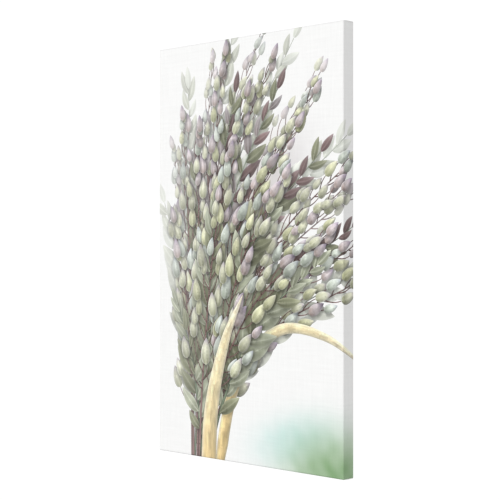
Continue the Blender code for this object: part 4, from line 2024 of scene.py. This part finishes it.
    def build(self, finish: CanvasFinish) -> bpy.types.Object:
        """Builds the folded cloth with its picture and its finish.

        Args:
            finish: The cloth's finish.

        Returns:
            The canvas.
        """
        outline = self.sheet_outline()
        flat, faces, top = self.outside_net(outline)
        flat, faces = used_only(flat, faces)
        back_flat, back_faces = used_only(*self.inside_net(outline))
        loop = nearest_rows(outline, flat)
        back_loop = nearest_rows(outline, back_flat)
        middle = self.rim(outline)
        count, size = len(flat), len(outline)
        behind = count + 2 * size
        whole = behind + len(back_flat)
        rims = [loop, np.arange(size) + count, np.arange(size) + count + size, back_loop + behind]
        bands = [band(first, second) for first, second in zip(rims, rims[1:])]
        inside = self.wrap_inside(back_flat, self.arms(back_flat))
        threads = self.fray.build(outline, self.wrap(outline, self.arms(outline)), self.cut_end)
        triangles = np.vstack([faces, *bands, back_faces[:, ::-1] + behind, threads[1] + whole])
        places = np.vstack([self.wrap(flat, self.arms(flat)), *middle, inside, threads[0]])
        obj = new_object(CANVAS_NODE + "_cloth", places * MM, triangles)
        mesh = obj.data
        self.paint(mesh, flat, faces, top, finish)
        sheet = np.vstack([flat, outline, outline, back_flat, threads[2]])
        side = np.concatenate([np.zeros(count + size), np.ones(len(sheet) - count - size)])
        put_attribute(mesh, "flat", "FLOAT_VECTOR", "POINT", np.column_stack([sheet, side]))
        thread_maps = threads[3][threads[1].ravel()]
        self.unwrap(mesh, sheet, triangles, (len(faces), len(back_faces)), thread_maps)
        mesh.set_sharp_from_angle(angle=math.radians(self.sharp_from))
        bends = self.flat_end + math.pi / 4 * self.front_radius
        mesh.materials.append(finish.material(bends.tolist()))
        shapes = len(self.picture.shapes)
        LOG.info("canvas: %d points, %d triangles, %d shapes", len(places), len(triangles), shapes)
        return obj

    def paint(self, mesh: bpy.types.Mesh, flat: Points, faces: Rows, top: Rows, finish: CanvasFinish) -> None:
        """Lays the picture's colours and veins on the outside's corners.

        Args:
            mesh: The cloth's mesh, whose first triangles are the outside's.
            flat: Flat places of the outside's points.
            faces: The outside's triangles.
            top: Number of each triangle's topmost shape.
            finish: The cloth's finish.
        """
        ground = len(self.picture.shapes) + 2
        keys = faces.ravel().astype(np.int64) * ground + np.repeat(top + 2, 3)
        pairs, rows = np.unique(keys, return_inverse=True)
        owners = (pairs % ground) - 2
        rgb, vein = self.picture.paint(flat[pairs // ground], owners)
        level = np.array(finish.white) / to_linear(Shape.PAPER)
        ink = np.ones((len(mesh.loops), 4))
        ink[:, 3] = 0.0
        ink[: faces.size, :3] = (to_linear(rgb) * level)[rows]
        ink[: faces.size, 3] = (owners > -2)[rows]
        veins = np.zeros((len(mesh.loops), 3))
        veins[: faces.size] = vein[rows]
        put_attribute(mesh, "ink", "FLOAT_COLOR", "CORNER", ink)
        put_attribute(mesh, "vein", "FLOAT_VECTOR", "CORNER", veins)

    def unwrap(
        self, mesh: bpy.types.Mesh, sheet: Points, triangles: Rows, counts: tuple[int, int], threads: Points
    ) -> None:
        """Lays the sheet out on its UV map, the outside large, the inside small.

        Args:
            mesh: The cloth's mesh.
            sheet: Flat place of each of its points.
            triangles: Its triangles: the outside's, the rim's, the inside's and the threads'.
            counts: How many of them the outside and the inside have.
            threads: Places on the map of the threads' corners.
        """
        share = (sheet + self.cut_end + 1.0) / (2 * self.cut_end + 2.0)
        corners = share[triangles.ravel()]
        end = len(corners) - len(threads)
        parts = np.split(corners, [3 * counts[0], end - 3 * counts[1], end])
        areas = (self.outside_area, self.rim_area, self.inside_area)
        maps = np.vstack([*(area.place(part) for area, part in zip(areas, parts)), threads])
        layer = mesh.uv_layers.new(name="OFBake")
        layer.uv.foreach_set("vector", maps.ravel())

    def declare(self, cloth: bpy.types.Object) -> None:
        """Attaches the cloth to the root body and hides the imported canvas that it replaces.

        Args:
            cloth: The canvas.
        """
        outline = self.sheet_outline()
        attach(cloth, "root")
        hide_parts(CANVAS_NODE)
        self.flat_size


@dataclass
class StretcherFrame:
    """The wooden frame: four pine bars and the beech keys in their corners."""

    nodes: dict[str, bpy.types.Object]
    early: Rgb = (0.75, 0.57, 0.35)
    late: Rgb = (0.50, 0.30, 0.13)
    key_early: Rgb = (0.62, 0.42, 0.25)
    key_late: Rgb = (0.44, 0.26, 0.13)

    PITHS = {"top": (14, 38), "bottom": (24, -650), "left": (30, -214), "right": (-58, 186)}
    KNOTS = {
        "top": (Knot(-96.0, 3.0),),
        "bottom": (Knot(58.0, -541.0, 1.7, 14.0),),
        "left": (Knot(-352.0, -150.0, 2.8, 24.0), Knot(-96.0, -158.0, 1.3, 10.0)),
        "right": (Knot(-168.0, 151.0, 2.0, 16.0),),
    }

    def finishes(self, side: str, seed: int) -> tuple[WoodFinish, WoodFinish]:
        """Picks the pine of one bar and the beech of the keys in its slots.

        Args:
            side: The bar's side.
            seed: The bar's number.

        Returns:
            The two finishes. The keys' grain runs across the bar's.
        """
        grains = (Grain.ACROSS, Grain.UPRIGHT) if side in ("top", "bottom") else (Grain.UPRIGHT, Grain.ACROSS)
        pith = self.PITHS[side]
        pine = WoodFinish(
            f"pine_{side}", grains[0], pith, self.early, self.late, seed=11.0 * seed, knots=self.KNOTS[side]
        )
        beech = WoodFinish(
            f"beech_{side}", grains[1], (40.0, -pith[1]), self.key_early, self.key_late, seed=3.0 + seed,
            ring=5.0, ring_share=0.25, fibre=0.3, flecks=0.35, pores=0.9, roughness=0.6,
        )
        return pine, beech

    def dress(self) -> None:
        """Gives each bar its own pine and the keys their beech."""
        for seed, side in enumerate(self.PITHS):
            pine, beech = (finish.material() for finish in self.finishes(side, seed))
            give(self.nodes[f"stretcher_bar_{side}"], pine)
            for end in ("start", "end"):
                give(self.nodes[f"key_{side}_{end}"], beech)
            LOG.info("wood: stretcher_bar_%s and its keys", side)


@dataclass
class Fixings:
    """The staples, the saw-tooth hanger and its nails."""

    nodes: dict[str, bpy.types.Object]
    zinc: MetalFinish = MetalFinish(
        "galvanised_wire", (0.66, 0.67, 0.68), (0.55, 0.56, 0.57), (0.40, 0.39, 0.37), 0.28, 0.46, 0.35
    )
    brass: MetalFinish = MetalFinish(
        "brass_plated_steel", (0.80, 0.58, 0.27), (0.71, 0.49, 0.21), (0.44, 0.30, 0.15), 0.25, 0.38, 0.35
    )

    def dress(self) -> None:
        """Gives the staples their zinc and the hanger and nails their brass plating."""
        zinc, brass = self.zinc.material(), self.brass.material()
        for name, node in self.nodes.items():
            if name.startswith("staple_"):
                give(node, zinc)
            elif name.startswith(("sawtooth_", "hanger_")):
                give(node, brass)
        LOG.info("metal: staples, hanger and nails")


def give(obj: bpy.types.Object, material: bpy.types.Material) -> None:
    """Puts one material in every slot of an object."""
    for slot in obj.material_slots:
        slot.link, slot.material = "OBJECT", material


@dataclass(frozen=True)
class SoftLight:
    """A square soft light: its place and its side in metres, and its power in watts."""

    name: str
    place: tuple[float, float, float]
    size: float
    power: float

    def add(self, aim: Sequence[float]) -> None:
        """Adds the light to the scene.

        Args:
            aim: The place that it faces.
        """
        data = bpy.data.lights.new(self.name, "AREA")
        data.shape = "SQUARE"
        data.size = self.size
        data.energy = self.power
        light = bpy.data.objects.new(self.name, data)
        light.location = self.place
        direction = Vector(aim) - Vector(self.place)
        light.rotation_euler = direction.to_track_quat("-Z", "Y").to_euler()
        bpy.context.scene.collection.objects.link(light)


@dataclass
class Studio:
    """A white studio: soft light before and behind the print, a pale floor far below and the camera."""

    floor_height: float = -1.45
    floor_half: float = 4.0
    floor_rise: float = 0.02
    floor_rings: int = 12
    floor_sides: int = 64
    background: float = 1.05
    sky: float = 0.70
    lights: tuple[SoftLight, ...] = (
        SoftLight("key_light", (-0.5, -6.0, 1.0), 4.0, 146.0),
        SoftLight("fill_light", (3.2, -0.6, 0.6), 2.2, 2.3),
        SoftLight("back_light", (-1.6, 3.0, 0.7), 2.4, 14.0),
    )
    aim: tuple[float, float, float] = (0.0, 0.0, -0.27)
    lens: float = 91.4
    sensor_width: float = 36.0
    clip_start: float = 0.05
    camera_place: tuple[float, float, float] = (1.2456, -1.2924, -0.270)
    camera_turn: float = 44.20

    def build(self) -> None:
        """Builds the studio."""
        self.add_floor()
        for light in self.lights:
            light.add(self.aim)
        self.add_camera()
        self.light_world()
        view = bpy.context.scene.view_settings
        view.view_transform = "Standard"
        view.look = "None"
        LOG.info("studio: floor, three lights, white surroundings and camera")

    def add_floor(self) -> None:
        """Adds the floor as a round disc that rises a little towards its rim."""
        rings, sides = self.floor_rings, self.floor_sides
        radii = self.floor_half * np.linspace(0.0, 1.0, rings + 1)[1:]
        angles = np.linspace(0.0, math.tau, sides, endpoint=False)
        places = [(0.0, 0.0, self.floor_height)]
        for radius in radii:
            rise = self.floor_rise * (radius / self.floor_half) ** 6
            places += [(radius * math.cos(a), radius * math.sin(a), self.floor_height + rise) for a in angles]
        around = np.arange(sides)
        fan = np.stack([np.zeros(sides, int), 1 + around, 1 + np.roll(around, -1)], axis=1)
        loops = [1 + ring * sides + around for ring in range(rings)]
        bands = [band(inner, outer) for inner, outer in zip(loops, loops[1:])]
        floor = new_object("studio_floor", np.array(places), np.vstack([fan, *bands]))
        floor.data.materials.append(FloorFinish().material())

    def add_camera(self) -> None:
        """Adds the camera at the photograph's viewing angle."""
        data = bpy.data.cameras.new("camera")
        data.lens = self.lens
        data.sensor_width = self.sensor_width
        data.clip_start = self.clip_start
        camera = bpy.data.objects.new("camera", data)
        camera.location = self.camera_place
        camera.rotation_euler = (math.pi / 2, 0.0, math.radians(self.camera_turn))
        bpy.context.scene.collection.objects.link(camera)
        bpy.context.scene.camera = camera

    def light_world(self) -> None:
        """Surrounds the scene with soft light, and with plain white behind the object."""
        world = bpy.data.worlds.new("studio_surroundings")
        bpy.context.scene.world = world
        nodes = Nodes(world)
        white = (1.0, 1.0, 1.0)
        sky, behind = (
            nodes.add("ShaderNodeBackground", {"Color": white, "Strength": strength})
            for strength in (self.sky, self.background)
        )
        seen = nodes.add("ShaderNodeLightPath", out="Is Camera Ray")
        shown = nodes.add("ShaderNodeMixShader", {"Fac": seen, 1: sky, 2: behind})
        nodes.add("ShaderNodeOutputWorld", {"Surface": shown})


def main() -> None:
    """Builds and dresses the print in its studio."""
    logging.basicConfig(level=logging.INFO, format="%(message)s")
    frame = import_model()
    Studio().build()
    canvas = Canvas()
    cloth = canvas.build(CanvasFinish())
    canvas.declare(cloth)
    StretcherFrame(frame["nodes"]).dress()
    Fixings(frame["nodes"]).dress()


if __name__ == "__main__":
    main()
